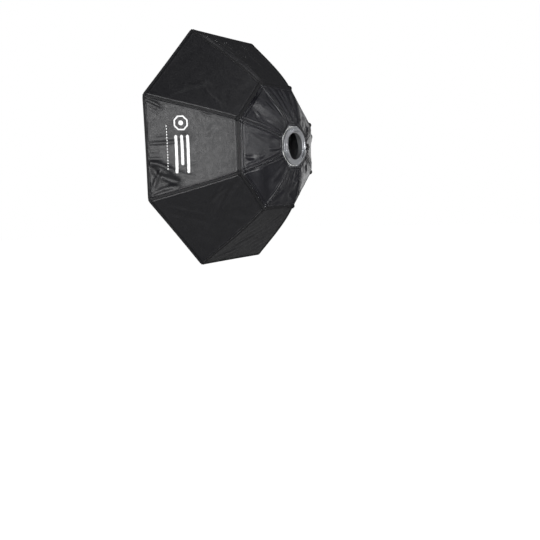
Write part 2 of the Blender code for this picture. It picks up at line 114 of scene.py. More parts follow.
def basis(panel):
    """Outward and crosswise unit vectors of a panel, or of a rib at half a number."""
    angle = panel * SECTOR
    outward = np.array([math.cos(angle), 0, math.sin(angle)])
    crosswise = np.array([-math.sin(angle), 0, math.cos(angle)])
    return outward, crosswise


def smooth(x):
    """Rises from 0 to 1 as x does, and is level at both ends."""
    x = np.clip(x, 0, 1)
    return x * x * (3 - 2 * x)


def half_width(share):
    """Half the distance between two ribs."""
    return rib_at(share)[0] * math.sin(HALF)


def skin(panel, across, share):
    """Points of the taut skin: across is 0 to 1 between ribs, share runs along the rib line."""
    across, share = np.broadcast_arrays(np.asarray(across, float), np.asarray(share, float))
    radius, depth = rib_at(share)
    half = radius * math.sin(HALF)
    x = (2 * across - 1) * half
    tangent = RIB_ROUND * math.tan(HALF)
    turn = np.clip((tangent - (half - np.abs(x))) / tangent, 0, None) * HALF
    rounded = np.sign(x) * (half - tangent + RIB_ROUND * np.sin(turn))
    x = np.where(turn > 0, rounded, x)
    inward = RIB_ROUND * (1 - np.cos(turn))
    part = np.clip((share - KNEE) / (1 - KNEE), 0, 1)
    inward = inward + PANEL_SAG * 16 * part * (1 - part) * np.clip(across * (1 - across), 0, 1)
    out, cross = basis(panel)
    away = radius * math.cos(HALF) - inward
    points = away[..., None] * out + x[..., None] * cross
    points[..., 1] -= depth
    return points


def normals_of(surface, across, share, step=1e-3):
    """Outward unit normals of a surface(across, share)."""
    a = surface(across + step, share) - surface(across - step, share)
    b = surface(across, share + step) - surface(across, share - step)
    normal = np.cross(a, b)
    normal /= np.linalg.norm(normal, axis=-1, keepdims=True)
    return normal


class Cloth:
    """One panel or flap: the taut skin moved in and out by its folds.

    start and end are its shares of the rib line. tapes are the distances of the tapes' inner edges from its
    sides, its start and its end. ripple, gather and pucker are heights. room is how far the cloth can go
    in near its end.
    """

    def __init__(self, panel, start, end, folds, seed, ripple, tapes, gather=0.0, pucker=0.00045, room=None):
        self.panel = panel
        self.start = start
        self.end = end
        self.folds = folds
        self.ripple = ripple
        self.side_tape, self.near_tape, self.far_tape = tapes
        self.gather = gather
        self.pucker = pucker
        self.room = room
        self.random = random.Random(seed)
        self.waves = self.make_waves(*LONG_WAVES) + self.make_waves(*SHORT_WAVES)
        self.gather_phase = [self.random.uniform(0, 2 * math.pi) for _ in range(4)]

    def make_waves(self, count, shortest, longest, size):
        """Wavelength, direction, phase and height of each ripple."""
        uniform = self.random.uniform
        waves = []
        for _ in range(count):
            height = size * uniform(0.4, 1.0)
            length = uniform(shortest, longest)
            direction = uniform(0, math.pi)
            phase = uniform(0, 2 * math.pi)
            waves.append((length, direction, phase, height))
        return waves

    @property
    def length(self):
        """Metres from its start to its end."""
        return (self.end - self.start) * SKIN_LENGTH

    def share(self, along):
        """The share of the rib line at this place along."""
        return self.start + (self.end - self.start) * np.asarray(along, float)

    def flat(self, across, along):
        """Where a point lies on the panel laid flat, in metres."""
        share = self.share(along)
        return (2 * np.asarray(across, float) - 1) * half_width(share), share * SKIN_LENGTH

    def relief(self, across, along):
        """How far the cloth stands off the taut skin."""
        x, y = self.flat(across, along)
        side = half_width(self.share(along)) - np.abs(x)
        near = np.asarray(along) * self.length
        far = (1 - np.asarray(along)) * self.length
        height = np.zeros_like(x)
        for wave, direction, phase, size in self.waves:
            run = x * math.cos(direction) + y * math.sin(direction)
            height = height + size * np.sin(2 * math.pi * run / wave + phase)
        height = height * self.ripple / 3
        if self.gather:
            height = height + self.gathers(across, along)
        for route, width, tall in self.folds:
            height = height + self.fold(x, y, route, width, tall)
        height = height * smooth(side / 0.012) * smooth(near / 0.014) * smooth(far / 0.012)
        for distance, run, tape_edge in (
            (side, y + (x > 0) * 0.37, self.side_tape),
            (near, x, self.near_tape),
            (far, x + 0.21, self.far_tape),
        ):
            height = height + self.seam(distance, run, tape_edge)
        if self.room:
            room = self.room + 0.5 * np.clip(far - 0.012, 0, None)
            height = np.where(height < 0, -room * np.tanh(-height / room), height)
        return height

    def seam(self, distance, run, tape_edge):
        """The groove beside a sewn tape, and the puckers that its thread pulls into the cloth."""
        beyond = distance - tape_edge
        groove = -SEAM_GROOVE * np.exp(-(((beyond - GROOVE_PLACE) / GROOVE_WIDTH) ** 2))
        welt = SEAM_WELT * np.exp(-(((beyond - WELT_PLACE) / WELT_WIDTH) ** 2))
        turn = 2 * math.pi * (run / 0.0135 + 0.35 * np.sin(run / 0.0061) + 0.6 * np.sin(run / 0.019))
        uneven = 0.55 + 0.45 * np.sin(run / 0.0137 + 1.3) * np.sin(run / 0.031)
        fade = np.exp(-np.clip(beyond, 0, None) / 0.011) * smooth((beyond + 0.001) / 0.003)
        return groove + welt + self.pucker * np.sin(turn) * uneven * fade

    def gathers(self, across, along):
        """Uneven pleats that radiate from the hub and die out on the way to the knee."""
        near = np.exp(-np.asarray(along) * (self.end - self.start) * SKIN_LENGTH / 0.045)
        a, b, c, d = self.gather_phase
        warped = across + 0.035 * np.sin(5 * across + a) + 0.02 * np.sin(11 * across + b)
        pleats = np.sin(2 * math.pi * 4.5 * warped + c) + 0.5 * np.sin(2 * math.pi * 8 * warped + d)
        return self.gather * near * pleats

    def fold(self, x, y, route, width, tall):
        """A ridge, or a valley if tall is negative, along a curve through three (across, along) points."""
        ends_x, ends_y = self.flat(*np.array(route).T)
        t = np.linspace(0, 1, 13)
        weights = np.stack([(1 - t) ** 2 - t * (1 - t), 4 * t * (1 - t), t**2 - t * (1 - t)])
        line = np.stack([ends_x @ weights, ends_y @ weights], -1)
        step = np.diff(line, axis=0)
        away = np.stack([x, y], -1)[..., None, :] - line[:-1]
        run = np.clip((away * step).sum(-1) / (step**2).sum(-1), 0, 1)
        distance = np.linalg.norm(away - run[..., None] * step, axis=-1)
        nearest = distance.argmin(-1)[..., None]
        best = np.take_along_axis(distance, nearest, -1)[..., 0]
        where = (nearest + np.take_along_axis(run, nearest, -1))[..., 0] / len(step)
        taper = smooth(where / 0.3) * smooth((1 - where) / 0.35)
        ratio = (best / (width * (0.7 + 0.6 * where))) ** 2
        return tall * taper * (1 - 0.45 * ratio) * np.exp(-ratio / 1.3)

    def surface(self, across, along):
        """Points of the cloth's outer face."""
        across, along = np.broadcast_arrays(np.asarray(across, float), np.asarray(along, float))
        share = self.share(along)
        base = skin(self.panel, across, share)
        normal = normals_of(lambda a, s: skin(self.panel, a, s), across, share)
        return base + normal * self.relief(across, along)[..., None]

    def lifted(self, across, along, lift):
        """Points that stand this far off the outer face."""
        across, along = np.broadcast_arrays(np.asarray(across, float), np.asarray(along, float))
        normal = normals_of(self.surface, across, along)
        return self.surface(across, along) + normal * np.asarray(lift, float)[..., None]


# ---------------------------------------------------------------- meshes


def link(obj):
    """Puts an object in the scene."""
    bpy.context.scene.collection.objects.link(obj)
    return obj


def metric_uvs(points, wrap_rows, wrap_columns):
    """UVs in metres, measured along the middle row and the middle column."""

    def lengths(line, wrap):
        line = np.vstack([line, line[:1]]) if wrap else line
        return np.concatenate([[0], np.cumsum(np.linalg.norm(np.diff(line, axis=0), axis=1))])

    u = lengths(points[len(points) // 2], wrap_columns)
    v = lengths(points[:, points.shape[1] // 2], wrap_rows)
    return np.stack(np.meshgrid(u, v), -1)


def grid_mesh(name, points, uvs=None, wrap_rows=False, wrap_columns=False):
    """A smooth mesh from a grid of points, open or joined round in either direction."""
    rows, columns = points.shape[:2]
    if uvs is None:
        uvs = metric_uvs(points, wrap_rows, wrap_columns)
    i, j = np.meshgrid(
        np.arange(rows - (not wrap_rows)), np.arange(columns - (not wrap_columns)), indexing="ij"
    )
    corners = [(i, j), (i, j + 1), (i + 1, j + 1), (i + 1, j)]
    faces = np.stack([(a % rows) * columns + b % columns for a, b in corners], -1).reshape(-1, 4)
    mesh = bpy.data.meshes.new(name)
    mesh.from_pydata(points.reshape(-1, 3).tolist(), [], faces.tolist())
    layer = mesh.uv_layers.new(name="UVMap")
    flat = np.stack([uvs[a, b] for a, b in corners], 2).reshape(-1)
    layer.data.foreach_set("uv", flat.astype(np.float32))
    mesh.shade_smooth()
    return mesh


def grid_piece(name, points, materials, uvs=None, **wrap):
    """An object from a grid of points, with its materials."""
    obj = link(bpy.data.objects.new(name, grid_mesh(name, points, uvs, **wrap)))
    for material in materials:
        obj.data.materials.append(material)
    return obj


def face_outward(obj, outward):
    """Turns the faces of an open sheet so that they look this way."""
    total = sum((p.normal * p.area for p in obj.data.polygons), Vector())
    if total.dot(Vector(outward)) < 0:
        obj.data.flip_normals()


def thicken(obj, thickness, offset=-1, inner=0):
    """Gives a sheet its thickness; inner is its inner side's material, counted from the outer one."""
    solid = obj.modifiers.new("cloth", "SOLIDIFY")
    solid.thickness = thickness
    solid.offset = offset
    solid.material_offset = inner
    return obj


def sweep(name, rings, material, closed=False, crease=50):
    """Joins rings of points, each a closed cross-section, into a tube; open ends are capped."""
    obj = grid_piece(name, np.array(rings), [material], None, wrap_rows=closed, wrap_columns=True)
    bm = bmesh.new()
    bm.from_mesh(obj.data)
    if not closed:
        bmesh.ops.holes_fill(bm, edges=[e for e in bm.edges if e.is_boundary], sides=0)
    bmesh.ops.recalc_face_normals(bm, faces=bm.faces)
    bm.to_mesh(obj.data)
    bm.free()
    obj.data.set_sharp_from_angle(angle=math.radians(crease))
    return obj


def merge(name, pieces):
    """Joins objects into one."""
    with bpy.context.temp_override(active_object=pieces[0], selected_editable_objects=pieces):
        bpy.ops.object.join()
    pieces[0].name = name
    return pieces[0]


# A tape's upper side: shares of its half width and of its lift
TAPE_TOP = [
    (-1, 0.2), (-0.94, 0.55), (-0.75, 0.85), (-0.35, 1),
    (0.35, 1), (0.75, 0.85), (0.94, 0.55), (1, 0.2),
]
TAPE_BASE = -0.0003  # how deep a tape's underside lies in the cloth


def tape_profile(width, lift):
    """Offsets and lifts of a flat tape's cross-section, round at its edges."""
    half = width / 2
    offsets = [share * half for share, _ in TAPE_TOP] + [half, 0, -half]
    lifts = [share * lift for _, share in TAPE_TOP] + [TAPE_BASE] * 3
    return np.array(offsets), np.array(lifts)


def tape(name, place, stations, width, lift, material):
    """A flat tape along stations, where place(station, offset, lift) gives its points."""
    offsets, lifts = tape_profile(width, lift)
    station, offset = np.meshgrid(stations, offsets, indexing="ij")
    return sweep(name, place(station, offset, np.broadcast_to(lifts, station.shape)), material)


STITCH_PITCH = 0.0042
STITCH_LENGTH = 0.0031
THREAD_R = 0.0003
THREAD_SIDES = 6
STITCH_RINGS = ((-0.5, -0.6, 0.5), (-0.3, 0.45, 1), (0.3, 0.45, 1), (0.5, -0.6, 0.5))  # reach, height, size


def stitch_row(line, normals):
    """Places along a line for its stitches: middles, directions and normals."""
    steps = np.linalg.norm(np.diff(line, axis=0), axis=1)
    run = np.concatenate([[0], np.cumsum(steps)])
    count = max(2, int(run[-1] / STITCH_PITCH))
    spots = (np.arange(count) + 0.5) * run[-1] / count

    def columns(values, shift=0.0):
        return np.stack([np.interp(spots + shift, run, values[:, k]) for k in range(3)], 1)

    along = columns(line, 1e-3) - columns(line, -1e-3)
    along /= np.linalg.norm(along, axis=1, keepdims=True)
    normal = columns(normals)
    normal -= along * (normal * along).sum(1, keepdims=True)
    normal /= np.linalg.norm(normal, axis=1, keepdims=True)
    return columns(line), along, normal


def stitch_faces():
    """One stitch's faces, by vertex: its sides and its two ends."""
    n = THREAD_SIDES
    rings = len(STITCH_RINGS)
    faces = []
    for ring in range(rings - 1):
        for k in range(n):
            near, far = ring * n, (ring + 1) * n
            faces.append((near + k, near + (k + 1) % n, far + (k + 1) % n, far + k))
    faces.append(tuple(range(n - 1, -1, -1)))
    faces.append(tuple(range((rings - 1) * n, rings * n)))
    return faces


def stitches(name, rows, material, body):
    """Thread that stands on the cloth in short round stitches whose ends dive into it."""
    middle, along, normal = (np.concatenate(parts) for parts in zip(*rows))
    side = np.cross(along, normal)
    turns = np.arange(THREAD_SIDES) * math.pi / 3
    cosines = np.cos(turns)[None, :, None]
    sines = np.sin(turns)[None, :, None]
    points = []
    for reach, height, size in STITCH_RINGS:
        ring = middle[:, None] + along[:, None] * reach * STITCH_LENGTH + normal[:, None] * height * THREAD_R
        around = side[:, None] * cosines + normal[:, None] * sines
        points.append(ring + around * size * THREAD_R)
    points = np.stack(points, 1)
    each = THREAD_SIDES * len(STITCH_RINGS)
    pattern = stitch_faces()
    faces = [[v + each * n for v in face] for n in range(len(middle)) for face in pattern]
    mesh = bpy.data.meshes.new(name)
    mesh.from_pydata(points.reshape(-1, 3).tolist(), [], faces)
    mesh.shade_smooth()
    mesh.materials.append(material)
    obj = link(bpy.data.objects.new(name, mesh))
    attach(obj, body)
    return obj


# ---------------------------------------------------------------- materials


def new_material(name, colour, roughness, metallic=0.0, specular=0.5):
    """A material with its node tree and its shader."""
    material = bpy.data.materials.new(name)
    material.use_nodes = True
    shader = material.node_tree.nodes["Principled BSDF"]
    shader.inputs["Base Color"].default_value = (*colour, 1)
    shader.inputs["Roughness"].default_value = roughness
    shader.inputs["Metallic"].default_value = metallic
    shader.inputs["Specular IOR Level"].default_value = specular
    return material, material.node_tree, shader


def add_node(tree, kind, **settings):
    """A node whose inputs or properties are set by name."""
    node = tree.nodes.new(kind)
    for key, value in settings.items():
        if key in node.inputs:
            node.inputs[key].default_value = value
        else:
            setattr(node, key, value)
    return node


def noise(tree, coordinates, scale, detail=3.0, roughness=0.55):
    """A noise of about 0 to 1."""
    node = add_node(tree, "ShaderNodeTexNoise", Scale=scale, Detail=detail, Roughness=roughness)
    tree.links.new(coordinates, node.inputs["Vector"])
    return node.outputs["Fac"]


def remap(tree, value, low, high, start=0.3, end=0.7):
    """A value from start to end spread over low to high."""
    node = add_node(tree, "ShaderNodeMapRange")
    node.inputs["From Min"].default_value = start
    node.inputs["From Max"].default_value = end
    node.inputs["To Min"].default_value = low
    node.inputs["To Max"].default_value = high
    tree.links.new(value, node.inputs["Value"])
    return node.outputs["Result"]


def colour_between(tree, factor, first, second):
    """A colour from the first, where factor is 0, to the second."""
    node = add_node(tree, "ShaderNodeMix", data_type="RGBA")
    tree.links.new(factor, node.inputs["Factor"])
    node.inputs["A"].default_value = (*first, 1)
    node.inputs["B"].default_value = (*second, 1)
    return node.outputs["Result"]


def maths(tree, operation, first, second=0.0):
    """A sum on two numbers or sockets."""
    node = add_node(tree, "ShaderNodeMath", operation=operation)
    for socket, value in zip(node.inputs, (first, second)):
        if isinstance(value, (int, float)):
            socket.default_value = value
        else:
            tree.links.new(value, socket)
    return node.outputs[0]


def weave(tree, coordinates, pitch):
    """The height of a plain weave: warp and weft threads of this pitch that pass over and under."""
    split = add_node(tree, "ShaderNodeSeparateXYZ")
    tree.links.new(coordinates, split.inputs[0])
    turn = 2 * math.pi / pitch
    waves = [maths(tree, "SINE", maths(tree, "MULTIPLY", split.outputs[k], turn)) for k in (0, 1)]
    return maths(tree, "MULTIPLY", *waves)


def bump(tree, shader, height, distance, strength, before=None):
    """Relief on the shader's normal, on top of an earlier one."""
    node = add_node(tree, "ShaderNodeBump", Strength=strength, Distance=distance)
    tree.links.new(height, node.inputs["Height"])
    if before:
        tree.links.new(before.outputs[0], node.inputs["Normal"])
    tree.links.new(node.outputs[0], shader.inputs["Normal"])
    return node


def cloth_material(name, dark, light, roughness, pitch, specular, sheen, coordinates="UV"):
    """Woven cloth whose colour and gloss drift a little, with its weave in relief."""
    material, tree, shader = new_material(name, dark, roughness, specular=specular)
    place = add_node(tree, "ShaderNodeTexCoord").outputs[coordinates]
    drift = remap(tree, noise(tree, place, 9, 4), 0, 1)
    tree.links.new(colour_between(tree, drift, dark, light), shader.inputs["Base Color"])
    gloss = remap(tree, noise(tree, place, 55), roughness - 0.05, roughness + 0.06)
    tree.links.new(gloss, shader.inputs["Roughness"])
    shader.inputs["Sheen Weight"].default_value = sheen
    shader.inputs["Sheen Roughness"].default_value = 0.4
    crinkle = bump(tree, shader, noise(tree, place, 130, 2), 0.0012, 0.25)
    bump(tree, shader, weave(tree, place, pitch), 0.00012, 0.5, crinkle)
    return material


TOOL_RINGS = 2600  # noise scale across the turning marks, for each metre


def metal_material(name, colour, roughness):
    """Turned metal: fine tool rings about the axis, faint scratches and handling marks."""
    material, tree, shader = new_material(name, colour, roughness, metallic=1.0)
    place = add_node(tree, "ShaderNodeTexCoord").outputs["Object"]
    split = add_node(tree, "ShaderNodeSeparateXYZ")
    tree.links.new(place, split.inputs[0])
    squares = [maths(tree, "MULTIPLY", split.outputs[k], split.outputs[k]) for k in (0, 2)]
    radius = maths(tree, "SQRT", maths(tree, "ADD", *squares))
    lines = add_node(tree, "ShaderNodeTexNoise", noise_dimensions="1D", Scale=TOOL_RINGS, Detail=2.0)
    height = maths(tree, "MULTIPLY", split.outputs[1], 0.7)
    tree.links.new(maths(tree, "ADD", radius, height), lines.inputs["W"])
    marks = noise(tree, place, 900, 4, 0.7)
    worn = tuple(min(1, c * 1.1) for c in colour)
    tint = colour_between(tree, remap(tree, marks, 0, 1), colour, worn)
    tree.links.new(tint, shader.inputs["Base Color"])
    uneven = maths(tree, "ADD", lines.outputs["Fac"], maths(tree, "MULTIPLY", marks, 0.5))
    gloss = remap(tree, uneven, roughness - 0.05, roughness + 0.10, 0.5, 1.0)
    tree.links.new(gloss, shader.inputs["Roughness"])
    bump(tree, shader, lines.outputs["Fac"], 0.00003, 0.5)
    return material


def plastic_material(name, colour, roughness):
    """Moulded plastic with a fine spark-eroded grain."""
    material, tree, shader = new_material(name, colour, roughness)
    place = add_node(tree, "ShaderNodeTexCoord").outputs["Object"]
    grain = noise(tree, place, 700, 2)
    tree.links.new(remap(tree, grain, roughness - 0.06, roughness + 0.08), shader.inputs["Roughness"])
    bump(tree, shader, grain, 0.00012, 0.5)
    return material


# Darkest and lightest colour, roughness, pitch of the weave, specular level and sheen
CLOTHS = {
    "black_nylon": ((0.0042, 0.0042, 0.0054), (0.0060, 0.0060, 0.0074), 0.46, 0.0009, 0.5, 0.0),
    # flap_nylon is the panels' black nylon with a darker base colour, which is painted shade for the rear
    # flaps; it is also glossier
    "flap_nylon": ((0.0026, 0.0026, 0.0050), (0.0040, 0.0040, 0.0070), 0.43, 0.0009, 0.6, 0.0),
    "black_tape": ((0.006, 0.006, 0.007), (0.010, 0.010, 0.011), 0.75, 0.0014, 0.3, 0.02),
    "seam_tape": ((0.0052, 0.0052, 0.0060), (0.0078, 0.0078, 0.0088), 0.62, 0.0011, 0.35, 0.0),
    "thread": ((0.007, 0.007, 0.008), (0.011, 0.011, 0.012), 0.6, 0.0005, 0.3, 0.0, "Object"),
    "white_nylon": ((0.825, 0.835, 0.85), (0.85, 0.86, 0.875), 0.75, 0.0010, 0.3, 0.1),
    "white_tape": ((0.70, 0.71, 0.72), (0.78, 0.79, 0.80), 0.9, 0.0018, 0.2, 0.2),
    "white_elastic": ((0.68, 0.68, 0.68), (0.77, 0.77, 0.77), 0.85, 0.0012, 0.3, 0.1, "Object"),
}
# Colour and roughness
METALS = {
    "spring_steel": ((0.42, 0.43, 0.45), 0.32),
    "zinc_steel": ((0.60, 0.61, 0.62), 0.36),
    "aluminium": ((0.55, 0.56, 0.58), 0.38),
    "brass": ((0.62, 0.44, 0.18), 0.35),
}
PLASTICS = {
    "black_plastic": ((0.014, 0.014, 0.015), 0.42),
    "white_plastic": ((0.74, 0.74, 0.71), 0.4),
}


def make_materials():
    """Every material, by name."""
    made = {}
    for make, kinds in ((cloth_material, CLOTHS), (metal_material, METALS), (plastic_material, PLASTICS)):
        for name, look in kinds.items():
            made[name] = make(name, *look)
    made["silver_lining"] = silver_material()
    made["print_white"] = print_material()
    return made


def silver_material():
    """The silver coating of the skin's inner side, with its pebbled grain."""
    material, tree, shader = new_material("silver_lining", (0.60, 0.61, 0.62), 0.42, metallic=0.85)
    place = add_node(tree, "ShaderNodeTexCoord").outputs["UV"]
    cells = add_node(tree, "ShaderNodeTexVoronoi", Scale=420, feature="SMOOTH_F1")
    tree.links.new(place, cells.inputs["Vector"])
    tree.links.new(remap(tree, noise(tree, place, 30), 0.36, 0.50), shader.inputs["Roughness"])
    bump(tree, shader, cells.outputs["Distance"], 0.0004, 0.5)
    return material


def print_material():
    """White screen-print ink, slightly worn."""
    material, tree, shader = new_material("print_white", (0.80, 0.80, 0.80), 0.6)
    place = add_node(tree, "ShaderNodeTexCoord").outputs["Object"]
    worn = remap(tree, noise(tree, place, 260, 4), 0, 1, 0.35, 0.75)
    ink = colour_between(tree, worn, (0.84, 0.84, 0.84), (0.66, 0.66, 0.67))
    tree.links.new(ink, shader.inputs["Base Color"])
    return material


# ---------------------------------------------------------------- skin pieces


# Distances from a panel's edges at which its mesh has rows, in metres
EDGE_STEPS = np.array([0, 0.8, 1.7, 2.5, 3.5, 4.5, 5.5, 6.5, 7.5, 9, 11, 13]) / 1000


def panel_columns(share, cells):
    """Values of across for each row: fine beside the ribs, where tapes are sewn on, then even."""
    width = 2 * half_width(share)[:, None]
    near = EDGE_STEPS[None, :-1] / width
    first = EDGE_STEPS[-1] / width
    even = first + (1 - 2 * first) * np.linspace(0, 1, cells + 1)[None, :]
    return np.concatenate([near, even, 1 - near[:, ::-1]], axis=1)


def panel_rows(length, cells):
    """Values of along, fine at both ends."""
    near = EDGE_STEPS[:-1] / length
    first = EDGE_STEPS[-1] / length
    even = first + (1 - 2 * first) * np.linspace(0, 1, cells + 1)
    return np.concatenate([near, even, 1 - near[::-1]])


def cloth_piece(name, cloth, rows, cells, body, materials, inset=0.0, trim=None):
    """Builds a panel or flap from its surface; trim(across, along) shifts the rows of its far edge."""
    along = panel_rows(cloth.length, rows)[:, None]
    across = panel_columns(cloth.share(along[:, 0]), cells)
    if inset:
        half = half_width(cloth.share(along))
        across = np.clip(across, inset / (2 * half), 1 - inset / (2 * half))
    along = np.broadcast_to(along, across.shape).copy()
    if trim:
        along = trim(across, along)
    points = cloth.surface(across, along)
    x, y = cloth.flat(across, along)
    piece = grid_piece(name, points, materials, np.stack([x, y], -1))
    face_outward(piece, Vector(basis(cloth.panel)[0]) + Vector((0, 0.7, 0)))
    thicken(piece, CLOTH, -1, 1)
    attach(piece, body)
    return piece


def rim_pull(across, along):
    """Draws the front edge back between its corners and blunts the corners."""
    end = smooth((along - 0.85) / 0.15)
    length = (1 - KNEE) * SKIN_LENGTH
    bow = RIM_BOW * 4 * across * (1 - across)
    edge = half_width(np.array(1.0)) * 2 * np.minimum(across, 1 - across)
    blunt = CORNER_BLUNT * np.exp(-((edge / 0.010) ** 2))
    return along - end * (bow + blunt) / length


def random_folds(seed, count, tallest, reach=0.5):
    """Soft folds that run from a panel's corners and edges towards its middle."""
    pick = random.Random(seed)
    folds = []
    for _ in range(count):
        side = pick.choice((0, 1))
        across = pick.uniform(0.02, 0.22) if side else pick.uniform(0.78, 0.98)
        along = pick.choice((pick.uniform(0.75, 0.98), pick.uniform(0.03, 0.3)))
        lean = pick.uniform(0.15, reach) * (1 if across < 0.5 else -1)
        drift = pick.uniform(0.1, 0.4) * (-1 if along > 0.5 else 1)
        route = [
            (across, along),
            (across + lean * 0.5 + pick.uniform(-0.04, 0.04), along + drift * 0.55),
            (across + lean, along + drift),
        ]
        tall = pick.uniform(0.35, 1.0) * tallest * pick.choice((1, -1))
        folds.append((route, pick.uniform(0.006, 0.014), tall))
    return folds


# Folds that show on the panel at +X: routes of (across, along), width, height
SIDE_FOLDS = [
    ([(0.36, 1.0), (0.305, 0.82), (0.09, 0.58)], 0.0105, 0.0062),
    ([(0.31, 0.84), (0.19, 0.90), (0.04, 0.97)], 0.0090, 0.0050),
    ([(0.33, 1.0), (0.24, 0.90), (0.10, 0.86)], 0.0105, -0.0066),
    ([(0.24, 0.90), (0.16, 0.77), (0.04, 0.60)], 0.0130, -0.0082),
    ([(0.02, 0.98), (0.07, 0.86), (0.06, 0.60)], 0.0080, 0.0040),
    ([(0.27, 0.74), (0.18, 0.60), (0.10, 0.46)], 0.0070, 0.0018),
    ([(0.545, 1.04), (0.55, 0.84), (0.60, 0.50)], 0.0060, -0.0030),
    ([(0.60, 0.98), (0.60, 0.74), (0.66, 0.40)], 0.0110, 0.0012),
    ([(0.47, 1.03), (0.465, 0.93), (0.46, 0.84)], 0.0050, -0.0016),
    ([(0.40, 1.03), (0.39, 0.92), (0.385, 0.80)], 0.0060, -0.0026),
    ([(0.30, 0.66), (0.295, 0.55), (0.32, 0.42)], 0.0070, -0.0014),
    ([(0.96, 0.98), (0.945, 0.90), (0.90, 0.77)], 0.0060, -0.0046),
    ([(0.90, 0.98), (0.87, 0.90), (0.83, 0.80)], 0.0070, 0.0022),
    ([(0.93, 0.845), (0.78, 0.84), (0.60, 0.835)], 0.0034, -0.0009),
    ([(0.97, 0.42), (0.93, 0.36), (0.95, 0.24)], 0.0060, -0.0020),
]
TOP_FOLDS = [
    ([(0.020, 1.04), (0.058, 0.54), (0.085, -0.20)], 0.0088, 0.0130),
    ([(0.15, 0.97), (0.19, 0.65), (0.19, 0.20)], 0.0100, -0.0050),
    ([(0.30, 0.95), (0.33, 0.68), (0.30, 0.40)], 0.0130, 0.0040),
    ([(0.72, 0.98), (0.66, 0.70), (0.70, 0.30)], 0.0130, 0.0036),
]
UPPER_FLAP_FOLDS = [
    ([(0.60, 1.18), (0.60, 0.60), (0.52, -0.15)], 0.0430, 0.0170),
    ([(0.96, 0.90), (0.85, 0.50), (0.76, -0.10)], 0.0085, -0.0085),
    ([(0.66, 0.80), (0.66, 0.62), (0.62, 0.40)], 0.0060, -0.0016),
    ([(0.22, 0.56), (0.25, 0.26), (0.30, 0.03)], 0.0060, -0.0026),
    ([(0.30, 0.84), (0.24, 0.76), (0.14, 0.70)], 0.0040, -0.0018),
    ([(0.36, 0.78), (0.28, 0.72), (0.22, 0.60)], 0.0040, 0.0012),
]
CROWN_FLAP_FOLDS = [
    ([(0.22, 1.10), (0.26, 0.60), (0.34, -0.10)], 0.0085, 0.0052),
    ([(0.44, 1.05), (0.46, 0.55), (0.48, 0.02)], 0.0075, -0.0050),
    ([(0.62, 1.10), (0.62, 0.60), (0.58, 0.05)], 0.0085, 0.0046),
    ([(0.86, 0.95), (0.80, 0.60), (0.72, 0.20)], 0.0080, -0.0040),
]
SIDE_FLAP_FOLDS = [
    ([(0.12, 0.97), (0.20, 0.70), (0.30, 0.40)], 0.0100, 0.0046),
    ([(0.30, 0.98), (0.24, 0.80), (0.14, 0.58)], 0.0080, -0.0036),
    ([(0.86, 0.86), (0.70, 0.45), (0.62, 0.05)], 0.0100, -0.0030),
    ([(0.42, 0.42), (0.40, 0.25), (0.44, 0.04)], 0.0070, 0.0022),
]
LOWER_FLAP_FOLDS = [
    ([(1.30, 0.50), (0.62, 0.80), (0.02, 0.97)], 0.0210, 0.0080),
    ([(1.10, 0.40), (0.60, 0.50), (0.10, 0.66)], 0.0200, -0.0050),
    ([(0.30, 0.60), (0.36, 0.35), (0.44, 0.05)], 0.0100, 0.0016),
]
PANEL_FOLDS = {0: SIDE_FOLDS, 2: TOP_FOLDS}  # the others have random folds only
FLAP_FOLDS = {0: SIDE_FLAP_FOLDS, 1: UPPER_FLAP_FOLDS, 2: CROWN_FLAP_FOLDS, 7: LOWER_FLAP_FOLDS}
FLAP_GATHERS = {0: 0.0009, 1: 0.0010, 7: 0.0004}  # the other flaps have GATHER
GATHER = 0.0011
FLAP_GAP = 0.0006  # between a flap's side and its rib's middle
FLAP_KNEE_GAP = 0.0012
RIB_TAPE = 0.0078  # widths of the tapes and hems
KNEE_BAND = 0.0100
KNEE_GAP = 0.0030  # room at the knee for a flap's hem when the flap is open
BINDING = 0.0074
FRONT_ROOM = 0.0012  # how far the skin can go in beside the binding before it meets the front tapes
FLAP_HEM = 0.0070
HUB_HEM = 0.0100
TAPE_LIFT = 0.0014
KNEE_BAND_LIFT = TAPE_LIFT * 1.2
BINDING_LIFT = 0.0019
HEM_LIFT = 0.0007
TAPE_CLEAR = 0.0008  # from a tape's edge to where the cloth's groove starts
NOTCHED_FLAP = RIBS // 2
NOTCH_WIDTH = 0.024
NOTCH_END = 0.114  # radius


def panel_flat(start, end):
    """Width, length and area of the flat piece that a panel or flap is cut to."""
    wide, narrow = (2 * float(half_width(np.array(share))) for share in (end, start))
    tall = math.sqrt(((end - start) * SKIN_LENGTH) ** 2 - ((wide - narrow) / 2) ** 2)
    return (wide, tall), (wide + narrow) / 2 * tall


def make_outer_cloths():
    """The surfaces of the eight outer panels."""
    tapes = (RIB_TAPE / 2 + TAPE_CLEAR, KNEE_BAND + KNEE_GAP + TAPE_CLEAR, BINDING + TAPE_CLEAR)
    cloths = []
    for i in range(RIBS):
        count = 3 if i in PANEL_FOLDS else 7
        folds = PANEL_FOLDS.get(i, []) + random_folds(40 + i, count, 0.0022)
        cloths.append(Cloth(i, KNEE, 1.0, folds, 100 + i, 0.0007, tapes, room=FRONT_ROOM))
    return cloths


def make_flap_cloths():
    """The surfaces of the eight rear flaps."""
    tapes = (FLAP_GAP + FLAP_HEM + TAPE_CLEAR, HUB_HEM + 0.0012, FLAP_HEM + 0.0016)
    knee = KNEE - FLAP_KNEE_GAP / SKIN_LENGTH
    cloths = []
    for i in range(RIBS):
        folds = FLAP_FOLDS.get(i) or random_folds(70 + i, 6, 0.0040, 0.35)
        gather = FLAP_GATHERS.get(i, GATHER)
        cloths.append(Cloth(i, 0.0, knee, folds, 200 + i, 0.0010, tapes, gather, 0.0004))
    return cloths


